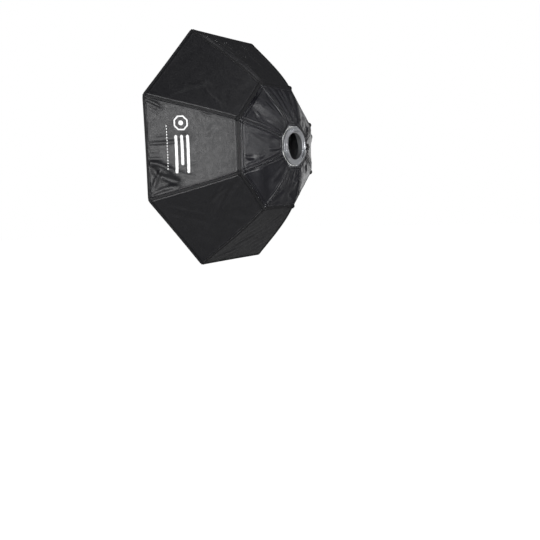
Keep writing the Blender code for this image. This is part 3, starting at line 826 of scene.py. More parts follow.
def make_outer_panels(cloths, pockets, materials):
    """The panels from knee to rim. The pockets argument is not used."""
    flat, area = panel_flat(KNEE, 1.0)
    for i, cloth in enumerate(cloths):
        skins = [materials["black_nylon"], materials["silver_lining"]]
        piece = cloth_piece(f"outer_cloth_{i + 1}", cloth, 104, 96, "softbox", skins, trim=rim_pull)
        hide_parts(f"outer_panel_{i + 1}")


def make_rear_flaps(cloths, materials):
    """The flaps from the ring to the knee; one is notched round the lock knob."""
    flat, area = panel_flat(0.0, KNEE)
    for i, cloth in enumerate(cloths):
        # flap_nylon's darker base colour is painted shade
        skins = [materials["flap_nylon"], materials["silver_lining"]]
        piece = cloth_piece(f"flap_cloth_{i + 1}", cloth, 56, 64, f"rear_flap_{i + 1}", skins, FLAP_GAP)
        if i == NOTCHED_FLAP:
            cut_knob_notch(piece)
        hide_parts(f"rear_flap_{i + 1}")


def cut_knob_notch(piece):
    """Removes the cloth round the lock knob, as the CAD flap has it."""
    bm = bmesh.new()
    bm.from_mesh(piece.data)
    half = NOTCH_WIDTH / 2
    cuts = (((0, 0, half), (0, 0, 1)), ((0, 0, -half), (0, 0, -1)), ((-NOTCH_END, 0, 0), (-1, 0, 0)))
    for plane, side in cuts:
        everything = bm.verts[:] + bm.edges[:] + bm.faces[:]
        bmesh.ops.bisect_plane(bm, geom=everything, plane_co=plane, plane_no=side, dist=1e-6)
    gone = []
    for face in bm.faces:
        middle = face.calc_center_median()
        if abs(middle.z) < half and middle.x > -NOTCH_END:
            gone.append(face)
    bmesh.ops.delete(bm, geom=gone, context="FACES")
    bm.to_mesh(piece.data)
    bm.free()


# ---------------------------------------------------------------- tapes, hems and stitches

SEAM_SHARE = 0.36  # distance of a stitch row from its tape's middle, as a share of the width
RIM_APOTHEM = float(rib_at(np.array(1.0))[0]) * math.cos(HALF)


def finish_trim(piece, body):
    """Puts a piece on its body."""
    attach(piece, body)
    return piece


def on_rib(cloths, rib):
    """Places points along a rib: share of the outer skin, metres to one side, and lift."""
    before, after = cloths[rib], cloths[(rib + 1) % RIBS]

    def place(along, offset, lift):
        width = 2 * half_width(before.share(along))
        first = before.lifted(1 - np.abs(offset) / width, along, lift)
        second = after.lifted(np.abs(offset) / width, along, lift)
        return np.where((np.asarray(offset) < 0)[..., None], first, second)

    return place


def along_end(cloth, middle):
    """Places points along a panel's end, with its tape's middle this far from the end in metres."""

    def place(across, offset, lift):
        base = middle if middle > 0 else cloth.length + middle
        return cloth.lifted(across, (base + offset) / cloth.length, lift)

    return place


def along_side(cloth, middle, second):
    """Places points along a flap's first or second side."""

    def place(along, offset, lift):
        across = (middle + offset) / (2 * half_width(cloth.share(along)))
        return cloth.lifted(1 - across if second else across, along, lift)

    return place


def seam_row(place, stations, offset, lift):
    """A row of stitches beside a tape's middle, at its height."""
    offsets = np.full(len(stations), offset)
    line = place(stations, offsets, np.full(len(stations), lift))
    above = place(stations, offsets, np.full(len(stations), lift + 0.001))
    return stitch_row(line, above - line)


def make_rib_tapes(cloths, materials):
    """A domed tape over each rib seam, from the knee to the binding."""
    length = cloths[0].length
    stations = np.linspace(0.004 / length, 1 - (BINDING + 0.003) / length, 120)
    rows = []
    for rib in range(RIBS):
        place = on_rib(cloths, rib)
        piece = tape(f"rib_tape_{rib + 1}", place, stations, RIB_TAPE, TAPE_LIFT, materials["seam_tape"])
        finish_trim(piece, "softbox")
        for side in (-1, 1):
            rows.append(seam_row(place, stations, side * RIB_TAPE * SEAM_SHARE, TAPE_LIFT))
    stitches("rib_stitches", rows, materials["thread"], "softbox")


# Distance from the knee and height of the loops' middle line
LOOP_PATH = np.array([(0.0046, -0.0004), (0.0048, 0.0030), (0.0060, 0.0056), (0.0086, 0.0064),
                      (0.0126, 0.0050), (0.0156, 0.0024), (0.0170, -0.0004)])
LOOP_WIDTH = 0.0125
LOOP_THICK = 0.0013
LOOP_PINCH = 0.40  # how much narrower it is at its top


def make_knee_loops(cloths, materials):
    """A small folded loop of tape that stands off each corner of the knee."""
    run = np.linspace(0, 1, len(LOOP_PATH))
    top = LOOP_PATH[:, 1].max()
    pieces = []
    for rib in range(RIBS):
        place = on_rib(cloths, rib)

        def stand(station, offset, lift, place=place):
            reach = np.interp(station, run, LOOP_PATH[:, 0]) / cloths[0].length
            height = np.interp(station, run, LOOP_PATH[:, 1])
            narrow = 1 - LOOP_PINCH * np.clip(height, 0, None) / top
            return place(reach, offset * narrow, height + lift)

        steps = np.linspace(0, 1, 40)
        pieces.append(tape("loop", stand, steps, LOOP_WIDTH, LOOP_THICK, materials["black_tape"]))
    finish_trim(merge("knee_loops", pieces), "softbox")


POCKET_HALF = 0.024
POCKET_DEPTH = 0.0118
POCKET_ENDS = (0.052, 0.014)  # metres behind the rim


def make_corner_pockets(cloths, materials):
    """The cloth pockets inside the front corners, which hold the ends of the rods."""
    offsets = np.linspace(-POCKET_HALF, POCKET_HALF, 33)
    bulge = -0.0012 - POCKET_DEPTH * np.cos(offsets / POCKET_HALF * math.pi / 2) ** 1.5
    stations = 1 - np.linspace(*POCKET_ENDS, 24) / cloths[0].length
    station, offset = np.meshgrid(stations, offsets, indexing="ij")
    lift = bulge * (1 - 0.25 * smooth((station - stations[0]) * 9))
    pockets = []
    for rib in range(RIBS):
        points = on_rib(cloths, rib)(station, offset, lift)
        pocket = grid_piece(f"corner_pocket_{rib + 1}", points, [materials["black_tape"]])
        thicken(pocket, 0.0009, 0)
        pockets.append(finish_trim(pocket, "softbox"))
    return pockets


def round_sweep(name, cloths, across, section, material):
    """A tape that runs round all eight panels; section(cloth, across) gives its cross-sections."""
    rings = np.concatenate([section(cloth, across[:-1, None]) for cloth in cloths])
    return sweep(name, rings, material, closed=True)


def knee_section(cloth, across):
    """Cross-sections of the band round the knee."""
    offsets, lifts = tape_profile(KNEE_BAND, KNEE_BAND_LIFT)
    return along_end(cloth, KNEE_BAND / 2 + KNEE_GAP)(across, offsets[None], lifts[None])


def make_knee_band(cloths, materials):
    """The wide hem that the rear flaps hang on."""
    across = np.linspace(0, 1, 61)
    piece = round_sweep("knee_band", cloths, across, knee_section, materials["seam_tape"])
    finish_trim(piece, "softbox")
    rows = []
    for cloth in cloths:
        place = along_end(cloth, KNEE_BAND / 2 + KNEE_GAP)
        for side in (-1, 1):
            rows.append(seam_row(place, across[1:-1], side * KNEE_BAND * SEAM_SHARE, KNEE_BAND_LIFT))
    stitches("knee_stitches", rows, materials["thread"], "softbox")


# The binding's outer side: shares of its width back from the edge, and heights
BINDING_BACK = [[1.0, 0.97, 0.85, 0.4, 0.08]]
BINDING_HEIGHTS = [[0.0003, 0.0013, 0.0019, 0.0020, 0.0017]]
# Its lip: metres inwards and forwards of the skin's edge
LIP = [(-0.0004, 0.0009), (0.0006, 0.0016), (0.0028, 0.0018), (0.0050, 0.0016), (0.0056, 0.0011),
       (0.0052, 0.0005), (0.0020, 0.0003)]


def binding_section(cloth, across):
    """The tape folded over the skin's front edge: up its outside, round the edge and back inside."""
    edge_along = rim_pull(across, np.ones_like(across))
    back = np.array(BINDING_BACK) * BINDING
    outer = cloth.lifted(across, edge_along - back / cloth.length, BINDING_HEIGHTS)
    edge = cloth.surface(across, edge_along)
    lip = []
    for inward, forward in LIP:
        shrink = 1 - inward / RIM_APOTHEM
        point = edge * np.array([shrink, 1, shrink])
        lip.append(point - np.array([0, forward, 0]))
    under = cloth.lifted(across, edge_along - back[:, ::-1] / cloth.length, np.full((1, 5), TAPE_BASE))
    return np.concatenate([outer, *lip, under], axis=1)


def make_binding(cloths, materials):
    """The tape round the front edge, with its stitches."""
    corner = 0.06  # share of an edge that has closer steps
    near, far = np.linspace(0, corner, 12), np.linspace(1 - corner, 1, 12)
    across = np.concatenate([near[:-1], np.linspace(corner, 1 - corner, 60), far[1:]])
    piece = round_sweep("rim_tape", cloths, across, binding_section, materials["black_tape"])
    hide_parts("rim_binding")
    finish_trim(piece, "softbox")
    rows = []
    for cloth in cloths:

        def place(station, offset, lift, cloth=cloth):
            edge_along = rim_pull(station, np.ones_like(station))
            return cloth.lifted(station, edge_along - offset / cloth.length, lift)

        rows.append(seam_row(place, across[2:-2], BINDING * 0.80, BINDING_LIFT))
    stitches("rim_stitches", rows, materials["thread"], "softbox")


def make_flap_hems(cloths, materials):
    """Turned and stitched hems on all four sides of each rear flap."""
    for i, cloth in enumerate(cloths):
        body = f"rear_flap_{i + 1}"
        sides = np.linspace(0.004 / cloth.length, 1 - 0.001 / cloth.length, 60)
        knee = np.linspace(0.005, 0.995, 60)
        hub = np.linspace(0.012, 0.988, 40)
        places = [
            (along_side(cloth, FLAP_GAP + FLAP_HEM / 2, False), sides, FLAP_HEM, (-1, 1)),
            (along_side(cloth, FLAP_GAP + FLAP_HEM / 2, True), sides, FLAP_HEM, (-1, 1)),
            (along_end(cloth, -FLAP_HEM / 2 - 0.0002), knee, FLAP_HEM, (-1,)),
            (along_end(cloth, HUB_HEM / 2 + 0.0002), hub, HUB_HEM, (1,)),
        ]
        hems = []
        rows = []
        for k, (place, stations, width, sewn_sides) in enumerate(places):
            hems.append(tape(f"hem_{k}", place, stations, width, HEM_LIFT, materials["flap_nylon"]))
            for side in sewn_sides:
                rows.append(seam_row(place, stations[2:-2], side * width * 0.33, HEM_LIFT))
        piece = merge(f"flap_hem_{i + 1}", hems)
        finish_trim(piece, body)
        sewn = stitches(f"flap_stitches_{i + 1}", rows, materials["thread"], body)
        if i == NOTCHED_FLAP:
            cut_knob_notch(piece)
            cut_knob_notch(sewn)


# ---------------------------------------------------------------- printed mark

MARK_ALONG = 0.63
MARK_FILM = 0.0005
OCTAGON_X = 0.083
OCTAGON_SIZE = 0.027
OCTAGON_LINE = 0.0055
DOT_SIZE = 0.0085
BARS = [(0.0208, 0.132), (0.0, 0.104), (-0.0208, 0.132)]  # place across the mark, length
BAR_GAP = 0.014
BAR_WIDTH = 0.0105
DASHES = 16
DASH_LENGTH = 0.0058
DASH_PITCH = 0.0098
DASH_WIDTH = 0.0030
DASH_AWAY = 0.052


def on_mark(cloth, x, y):
    """A point of the mark: x across the panel and y towards the rim, from the mark's middle."""
    along = MARK_ALONG + y / cloth.length
    across = 0.5 + x / (2 * half_width(cloth.share(along)))
    return cloth.lifted(across, along, np.full(np.shape(x), MARK_FILM))


def mark_ring(cloth, x, y, inner, outer, corners, material):
    """A ring with straight sides, or a round one for many corners."""
    turns = np.linspace(0, 2 * math.pi, 97)[:-1]
    sector = 2 * math.pi / corners
    reach = math.cos(sector / 2) / np.cos((turns + sector / 2) % sector - sector / 2)
    radii = np.linspace(inner, outer, 4)[:, None]
    grid_x = x + radii * reach * np.cos(turns)
    grid_y = y + radii * reach * np.sin(turns)
    return grid_piece("ring", on_mark(cloth, grid_x, grid_y), [material], None, wrap_columns=True)


def mark_bar(cloth, x, y, length, width, material):
    """A bar with round ends."""
    run = np.linspace(-1, 1, max(9, int(length / 0.0025)))
    half = width / 2
    inset = np.clip(np.abs(run) * length / 2 - (length / 2 - half), 0, None) / half
    tall = half * np.sqrt(np.clip(1 - inset**2, 0.02, 1))
    grid_x = x + run[None, :] * length / 2 + np.zeros((5, 1))
    grid_y = y + np.linspace(-1, 1, 5)[:, None] * tall[None, :]
    return grid_piece("bar", on_mark(cloth, grid_x, grid_y), [material])


def make_mark(cloth, materials):
    """A plain white mark: an octagon with a dot, three bars and a row of dashes."""
    ink = materials["print_white"]
    shapes = [
        mark_ring(cloth, OCTAGON_X, 0, OCTAGON_SIZE - OCTAGON_LINE, OCTAGON_SIZE, RIBS, ink),
        mark_ring(cloth, OCTAGON_X, 0, 0.0006, DOT_SIZE, 48, ink),
    ]
    bars_end = OCTAGON_X - OCTAGON_SIZE - BAR_GAP
    for y, length in BARS:
        shapes.append(mark_bar(cloth, bars_end - length / 2, y, length, BAR_WIDTH, ink))
    for i in range(DASHES):
        x = (i - (DASHES - 1) / 2) * DASH_PITCH
        shapes.append(mark_bar(cloth, x, DASH_AWAY, DASH_LENGTH, DASH_WIDTH, ink))
    piece = merge("printed_mark", shapes)
    face_outward(piece, Vector(basis(cloth.panel)[0]) + Vector((0, 0.7, 0)))
    thicken(piece, 0.0003)
    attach(piece, "softbox")


# ---------------------------------------------------------------- hub, rods and lock

# Radii and depths, as the CAD part has them
BORE_R = 0.049
FLANGE_R = 0.070
FLANGE_DEPTH = 0.008
LAND_R = 0.0645
LAND_DEPTH = 0.001
LAND_GROOVE = (0.0528, 0.0536)  # radii of a turned line on the bearing land
LINE_DEPTH = 0.0003
SLEEVE_IN_R = 0.0605
SLEEVE_R = 0.0660
SLEEVE_DEPTH = 0.0290
GROOVE_R = 0.0643  # the snap ring's groove
GROOVE_DEPTHS = (0.0239, 0.0263)
LUGS = 3
LUG_SPAN = math.radians(34)
LUG_STEM_R = (0.0555, 0.0585)
LUG_HOOK_R = 0.0625
LUG_TOP = -0.0085
LUG_HOOK_UNDER = -0.0060
RING_BORE_R = 0.0663
RING_FLAT_R = 0.0800
RING_CORNER_R = 0.0822
RING_DEPTHS = (0.0092, 0.0236)
RING_BEVEL = 0.0009
CAP_SCREW_R = 0.0757  # radius of the circle that the cap screws stand on
CAP_SCREW_ASIDE = 0.085  # radians to either side of a rod
LOCK_DEPTH = 0.0158
BOSS_R = 0.0062
BOSS_END = 0.0930
SCREW_R = 0.0030
SCREW_ENDS = (0.0686, 0.1040)
THREAD_PITCH = 0.001
THREAD_DEPTH = 0.00028
KNOB_ENDS = (0.0960, 0.1080)
KNOB_R = 0.0085
KNOB_LOBE = 0.0009
KNOB_LOBES = 8
ROD_HUB = (0.0800, 0.0158)
ROD_IN_SOCKET = 0.0088
ROD_STRAIGHT = 0.0160
ROD_HUB_ANGLE = math.radians(81.723)
ROD_BEND = math.radians(41.504)
ROD_LENGTH = 0.47691
ROD_R = 0.0019
TIP_R = 0.0031
TIP_LENGTH = 0.022
BEVEL = 0.0005


def at(radius, depth, angle):
    """Points at this radius, depth and angle about the axis."""
    radius, depth, angle = np.broadcast_arrays(radius, depth, angle)
    return np.stack([radius * np.cos(angle), -depth, radius * np.sin(angle)], -1)


def about_axis(name, profile, material, start=0.0, end=2 * math.pi, steps=192):
    """A closed (radius, depth) profile turned about the object's axis, or part of the way."""
    whole = math.isclose(end - start, 2 * math.pi)
    angles = np.linspace(start, end, steps + 1)[: steps if whole else steps + 1]
    radius, depth = np.array(profile).T
    return sweep(name, at(radius[None], depth[None], angles[:, None]), material, whole, 25)


def turned(name, profile, material, base, direction, steps=40):
    """A (radius, height) profile turned about a line from base; it starts and ends on that line."""
    direction = np.array(direction) / np.linalg.norm(direction)
    first = np.cross(direction, (0, 1, 0.001))
    first /= np.linalg.norm(first)
    second = np.cross(direction, first)
    turns = np.linspace(0, 2 * math.pi, steps + 1)[:-1]
    around = np.cos(turns)[:, None] * first + np.sin(turns)[:, None] * second
    rings = [np.array(base) + height * direction + radius * around for radius, height in profile]
    return sweep(name, rings, material, False, 30)


def cap_screw(base, direction, material, head=0.0023, height=0.0016):
    """A round screw head with a bevelled rim and a recess."""
    profile = [
        (head, -0.001), (head, height * 0.7), (head * 0.85, height), (head * 0.56, height),
        (head * 0.54, height * 0.3),
    ]
    return turned("screw_rim", profile, material, base, direction, 36)


def make_bayonet_ring(materials):
    """The bayonet insert: bore, bearing land, flange and grooved sleeve, with its hooked lugs."""
    b = BEVEL
    land, line = LAND_DEPTH, LAND_DEPTH + LINE_DEPTH
    line_in, line_out = LAND_GROOVE
    groove_near, groove_far = GROOVE_DEPTHS
    profile = [
        (BORE_R, land + b), (BORE_R + b, land), (line_in, land), (line_in + 0.0002, line),
        (line_out - 0.0002, line), (line_out, land), (LAND_R - 0.0004, land), (LAND_R, 0.0003),
        (LAND_R + 0.0003, 0), (FLANGE_R - b, 0), (FLANGE_R, b), (FLANGE_R, FLANGE_DEPTH - b),
        (FLANGE_R - b, FLANGE_DEPTH), (SLEEVE_R, FLANGE_DEPTH), (SLEEVE_R, groove_near),
        (GROOVE_R, groove_near), (GROOVE_R, groove_far), (SLEEVE_R, groove_far),
        (SLEEVE_R, SLEEVE_DEPTH - b), (SLEEVE_R - b, SLEEVE_DEPTH), (SLEEVE_IN_R + b, SLEEVE_DEPTH),
        (SLEEVE_IN_R, SLEEVE_DEPTH - b), (SLEEVE_IN_R, FLANGE_DEPTH), (BORE_R + b, FLANGE_DEPTH),
        (BORE_R, FLANGE_DEPTH - b),
    ]
    pieces = [about_axis("ring", profile, materials["aluminium"])]
    low, high = LUG_STEM_R
    hook, tall, under, root = LUG_HOOK_R, LUG_TOP, LUG_HOOK_UNDER, LAND_DEPTH + 0.001
    lug = [
        (low, root), (low, tall + b), (low + b, tall), (hook - b, tall), (hook, tall + b),
        (hook, under - b), (hook - b, under), (high + b, under), (high, under + b), (high, root),
    ]
    for i in range(LUGS):
        middle = math.pi / 2 + i * 2 * math.pi / LUGS
        start, end = middle - LUG_SPAN / 2, middle + LUG_SPAN / 2
        pieces.append(about_axis("lug", lug, materials["aluminium"], start, end, 24))
    piece = merge("bayonet_insert", pieces)
    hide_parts("bayonet_ring")
    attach(piece, "mount")


def make_rod_ring(materials):
    """The turning ring: round, with a flat for each rod, a screw beside each, and the lock's boss."""
    angles = np.linspace(0, 2 * math.pi, 385)[:-1]
    from_rib = (angles % SECTOR) - HALF
    outer = np.minimum(RING_CORNER_R, RING_FLAT_R / np.cos(from_rib))
    low, high = RING_DEPTHS
    bore, bevel = RING_BORE_R, RING_BEVEL
    rings = []
    for angle, radius in zip(angles, outer):
        section = [
            (bore, low + BEVEL), (bore + BEVEL, low), (radius - bevel, low), (radius, low + bevel),
            (radius, high - bevel), (radius - bevel, high), (bore + BEVEL, high), (bore, high - BEVEL),
        ]
        rings.append(at(*np.array(section).T, angle))
    metal = materials["aluminium"]
    pieces = [sweep("ring", rings, metal, True, 25)]
    boss = [(BOSS_R, RING_FLAT_R - 0.001), (BOSS_R, BOSS_END - BEVEL), (BOSS_R - BEVEL, BOSS_END),
            (SCREW_R + 0.0008, BOSS_END), (SCREW_R + 0.0003, BOSS_END - 0.0008)]
    pieces.append(turned("boss", boss, metal, (0, -LOCK_DEPTH, 0), (-1, 0, 0), 48))
    for i in range(RIBS):
        for aside in (-CAP_SCREW_ASIDE, CAP_SCREW_ASIDE):
            base = at(CAP_SCREW_R, low, (i + 0.5) * SECTOR + aside)
            pieces.append(cap_screw(base, (0, 1, 0), materials["zinc_steel"]))
    piece = merge("turning_ring", pieces)
    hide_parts("rod_ring")
    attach(piece, "softbox")


def rod_curve():
    """Radius and depth along a rod, from its root in the ring to its tip."""
    root = np.array(ROD_HUB)
    heading = np.array([math.sin(ROD_HUB_ANGLE), math.cos(ROD_HUB_ANGLE)])
    line = [root - heading * ROD_IN_SOCKET, root + heading * ROD_STRAIGHT]
    steps = 120
    for i in range(steps):
        angle = ROD_HUB_ANGLE - ROD_BEND * (1 - (1 - (i + 0.5) / steps) ** 3)
        line.append(line[-1] + np.array([math.sin(angle), math.cos(angle)]) * ROD_LENGTH / steps)
    return np.array(line)


def tube_along(name, line, radii, material, sides=20):
    """A round tube along points, of one radius or of one for each point."""
    line = np.asarray(line, float)
    heading = np.gradient(line, axis=0)
    heading /= np.linalg.norm(heading, axis=1, keepdims=True)
    side = np.cross(heading, np.cross(heading[0], heading[-1]) + (0, 1e-6, 1e-6))
    side /= np.linalg.norm(side, axis=1, keepdims=True)
    up = np.cross(heading, side)
    turns = np.linspace(0, 2 * math.pi, sides + 1)[:-1]
    around = np.cos(turns)[None, :, None] * side[:, None] + np.sin(turns)[None, :, None] * up[:, None]
    radii = np.broadcast_to(radii, len(line))[:, None, None]
    return sweep(name, line[:, None] + around * radii, material)


def make_rods(materials):
    """The sprung rods and the caps on their ends."""
    curve = rod_curve()
    heading = curve[-1] - curve[-2]
    heading /= np.linalg.norm(heading)
    half = TIP_LENGTH / 2
    profile = [
        (TIP_R - 0.0008, -half), (TIP_R, -half + 0.0008), (TIP_R, half - 0.0026),
        (TIP_R * 0.85, half - 0.0010), (TIP_R * 0.5, half - 0.0002), (TIP_R * 0.1, half),
    ]
    for i in range(RIBS):
        angle = (i + 0.5) * SECTOR
        line = at(curve[:, 0], curve[:, 1], angle)
        rod = tube_along(f"spring_rod_{i + 1}", line, ROD_R, materials["spring_steel"])
        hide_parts(f"rod_{i + 1}")
        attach(rod, "softbox")
        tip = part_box(f"rod_tip_{i + 1}")
        middle = (np.array(tip[0]) + np.array(tip[1])) / 2
        direction = at(heading[0], heading[1], angle)
        cap = turned(f"tip_cap_{i + 1}", profile, materials["black_plastic"], middle, direction)
        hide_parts(f"rod_tip_{i + 1}")
        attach(cap, "softbox")


def make_lock(materials):
    """The thumb screw: a threaded shank and a lobed knob with a dished end."""
    low, high = SCREW_ENDS
    heights = np.arange(low, high, 0.00025)
    thread = SCREW_R - THREAD_DEPTH * (1 + np.sin(heights * 2 * math.pi / THREAD_PITCH)) / 2
    line = [(-h, -LOCK_DEPTH, 0) for h in heights]
    shank = tube_along("lock_shank", line, thread, materials["zinc_steel"], 24)
    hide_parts("lock_screw")
    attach(shank, "lock_screw")
    turns = np.linspace(0, 2 * math.pi, 145)[:-1]
    lobed = KNOB_R + KNOB_LOBE * np.cos(KNOB_LOBES * turns)
    near, far = KNOB_ENDS
    stations = [(near, 0.35), (near, 0.88), (near + 0.0006, 0.97), (near + 0.0014, 1), (far - 0.0018, 1),
                (far - 0.0007, 0.97), (far, 0.88), (far, 0.70), (far - 0.0009, 0.60), (far - 0.0012, 0.05)]
    rings = []
    for x, share in stations:
        y = -LOCK_DEPTH + lobed * share * np.cos(turns)
        z = lobed * share * np.sin(turns)
        rings.append(np.stack([np.full(len(turns), -x), y, z], -1))
    knob = sweep("thumb_knob", rings, materials["black_plastic"], False, 40)
    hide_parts("lock_knob")
    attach(knob, "lock_screw")


# ---------------------------------------------------------------- front cover and inner diffuser

# Depths, and distances of the octagons' corners from the axis
HEM_DEPTH = 0.3218
HEM_CORNERS = (0.4300, 0.4646)
COVER_TAPE_DEPTH = 0.3232
COVER_TAPE_CORNERS = (0.4340, 0.4656)
COVER_DEPTH = 0.3245
COVER_CORNER = 0.4660
BAFFLE_DEPTH = 0.1756
BAFFLE_CORNER = 0.2345
BAFFLE_BOW = 0.009  # how far the middle of its sides is drawn in
BAFFLE_BLUNT = 0.002
WHITE_CLOTH = 0.0006
WHITE_HEM = 0.016
BAFFLE_HEM = 0.010
HEM_THICK = 0.0007
TAB_LENGTH = 0.034
TAB_WIDTH = 0.020
TAB_CURL = 0.0008
STRAP_ENDS = (0.222, 0.3262)  # radii
STRAP_WIDTH = 0.0098
STRAP_SAG = 0.0016
BAND_CELLS = 30  # for each side
# The cross-section of a flat tape: share of its width inwards, share of its thickness
BAND_LOOP = [(0, 0.4), (0.03, 0.9), (0.12, 1), (0.5, 1), (0.88, 1), (0.97, 0.9), (1, 0.4),
             (1, -0.4), (0.97, -0.9), (0.5, -1), (0.03, -0.9), (0, -0.4)]


def octagon_points(corner, across, bow=0.0, blunt=0.0):
    """(x, z) points round an octagon, from 0 to 8 in across; bow draws its sides in between corners."""
    side = np.floor(across)
    part = across - side
    first, second = (side - 0.5) * SECTOR, (side + 0.5) * SECTOR
    x = np.cos(first) * (1 - part) + np.cos(second) * part
    z = np.sin(first) * (1 - part) + np.sin(second) * part
    edge = np.minimum(part, 1 - part)
    shrink = 1 - bow * 4 * part * (1 - part) / corner - blunt / corner * np.exp(-((edge / 0.03) ** 2))
    return corner * x * shrink, corner * z * shrink


def flat_sheet(name, corner, depth, relief, materials, bow=0.0, blunt=0.0, rings=72, cells=30):
    """An octagonal sheet of cloth whose relief(share from the middle, across) moves it forwards."""
    across = np.arange(RIBS * cells) / cells
    share = np.concatenate([np.linspace(0, 0.9, rings), np.linspace(0.9, 1, 16)[1:]])[:, None]
    x, z = octagon_points(corner, across, bow, blunt)
    x, z = x * share, z * share
    forward = depth + relief(share, across[None], x, z)
    points = np.stack([x, -forward, z], -1)
    columns = np.concatenate([np.arange(x.shape[1]), [0]])
    uvs = np.stack([x, z], -1)[:, columns]
    piece = grid_piece(name, points, materials, uvs, wrap_columns=True)
    bm = bmesh.new()
    bm.from_mesh(piece.data)
    bmesh.ops.remove_doubles(bm, verts=bm.verts, dist=1e-7)
    bm.to_mesh(piece.data)
    bm.free()
    face_outward(piece, (0, -1, 0))
    return thicken(piece, WHITE_CLOTH, 0)


def flat_band(name, corner, width, depth, lift, material, relief=None, bow=0.0, blunt=0.0):
    """A flat tape round an octagon; width reaches inwards, lift is its thickness either way."""
    across = np.arange(RIBS * BAND_CELLS) / BAND_CELLS
    apothem = corner * math.cos(HALF)
    columns = []
    for part, height in BAND_LOOP:
        share = 1 - part * width / apothem
        x, z = octagon_points(corner, across, bow, blunt)
        shift = relief(np.full_like(x, share), across, x * share, z * share) if relief else 0
        columns.append(np.stack([x * share, -(depth + shift + height * lift) + 0 * x, z * share], -1))
    return sweep(name, np.stack(columns, 1), material, True)


def band_stitches(name, corner, inward, depth, relief, materials, body, bow=0.0, blunt=0.0):
    """A row of white stitches round an octagon, this far inside its edge."""
    across = np.linspace(0, RIBS - 1e-6, RIBS * 60)
    share = 1 - inward / (corner * math.cos(HALF))
    x, z = octagon_points(corner, across, bow, blunt)
    shift = relief(np.full_like(x, share), across, x * share, z * share)
    line = np.stack([x * share, -(depth + shift), z * share], -1)
    normals = np.broadcast_to((0.0, -1.0, 0.0), line.shape)
    return stitches(name, [stitch_row(line, normals)], materials["white_elastic"], body)


def pulled(waves, seed, tall, dome):
    """Relief of a sheet pulled at its corners: a dome, folds that fan from the corners, and ripples."""
    pick = random.Random(seed)
    ripples = []
    for _ in range(7):
        wave = pick.uniform(0.05, 0.16)
        direction = pick.uniform(0, math.pi)
        ripples.append((wave, direction, pick.uniform(0, 6.3)))
    turns = [pick.uniform(-0.5, 0.5) for _ in range(RIBS)]

    def relief(share, across, x, z):
        part = (across + 0.5) % 1 - 0.5
        corner = np.round(across).astype(int) % RIBS
        lean = np.array(turns)[corner]
        fan = np.cos(waves * (part + 0.05 * lean) * 2 * math.pi + lean * 4) * np.exp(-((part / 0.22) ** 2))
        fan = fan * smooth((share - 0.25) / 0.45) * (0.7 + 0.3 * np.cos(lean * 9))
        rough = 0
        for wave, direction, phase in ripples:
            run = x * math.cos(direction) + z * math.sin(direction)
            rough = rough + np.sin(run * 2 * math.pi / wave + phase) / len(ripples)
        height = dome * (1 - share**2) + tall * fan + tall * 0.9 * rough
        return height * smooth((1 - share) / 0.10)

    return relief


def make_front(materials):
    """The removable front diffuser, the loop tape behind its edge, and the skin's own hook tape."""
    white, tape_white, black = (materials[k] for k in ("white_nylon", "white_tape", "black_tape"))
    width = (HEM_CORNERS[1] - HEM_CORNERS[0]) * math.cos(HALF)
    hem = flat_band("hook_tape", HEM_CORNERS[1], width, HEM_DEPTH, 0.0006, black)
    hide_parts("front_hem")
    finish_trim(hem, "softbox")
    width = (COVER_TAPE_CORNERS[1] - COVER_TAPE_CORNERS[0]) * math.cos(HALF)
    loop = flat_band("loop_tape", COVER_TAPE_CORNERS[1], width, COVER_TAPE_DEPTH, 0.0005, tape_white)
    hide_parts("diffuser_tape")
    finish_trim(loop, "front_cover")
    relief = pulled(7, 5, 0.0024, 0.0045)
    cover = flat_sheet("diffuser_cloth", COVER_CORNER, COVER_DEPTH, relief, [white])
    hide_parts("front_diffuser")
    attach(cover, "front_cover")
    edge = flat_band("diffuser_hem", COVER_CORNER, WHITE_HEM, COVER_DEPTH, HEM_THICK, white, relief)
    finish_trim(edge, "front_cover")
    face = COVER_DEPTH + HEM_THICK
    for k, inward in enumerate((0.0025, WHITE_HEM - 0.0022)):
        name = f"diffuser_stitches_{k}"
        band_stitches(name, COVER_CORNER, inward, face, relief, materials, "front_cover")
    tabs = []
    for side in (0, 2, 4, 6):
        out, cross = basis(side)

        def place(station, offset, lift, out=out, cross=cross):
            away = RIM_APOTHEM - 0.010 - station
            curl = TAB_CURL * np.sin(station / TAB_LENGTH * math.pi) ** 2
            point = away[..., None] * out + np.asarray(offset)[..., None] * cross
            point[..., 1] = -(face + curl + lift)
            return point

        tabs.append(tape("tab", place, np.linspace(0, TAB_LENGTH, 24), TAB_WIDTH, TAPE_LIFT, tape_white))
    tab = merge("pull_tabs", tabs)
    finish_trim(tab, "front_cover")


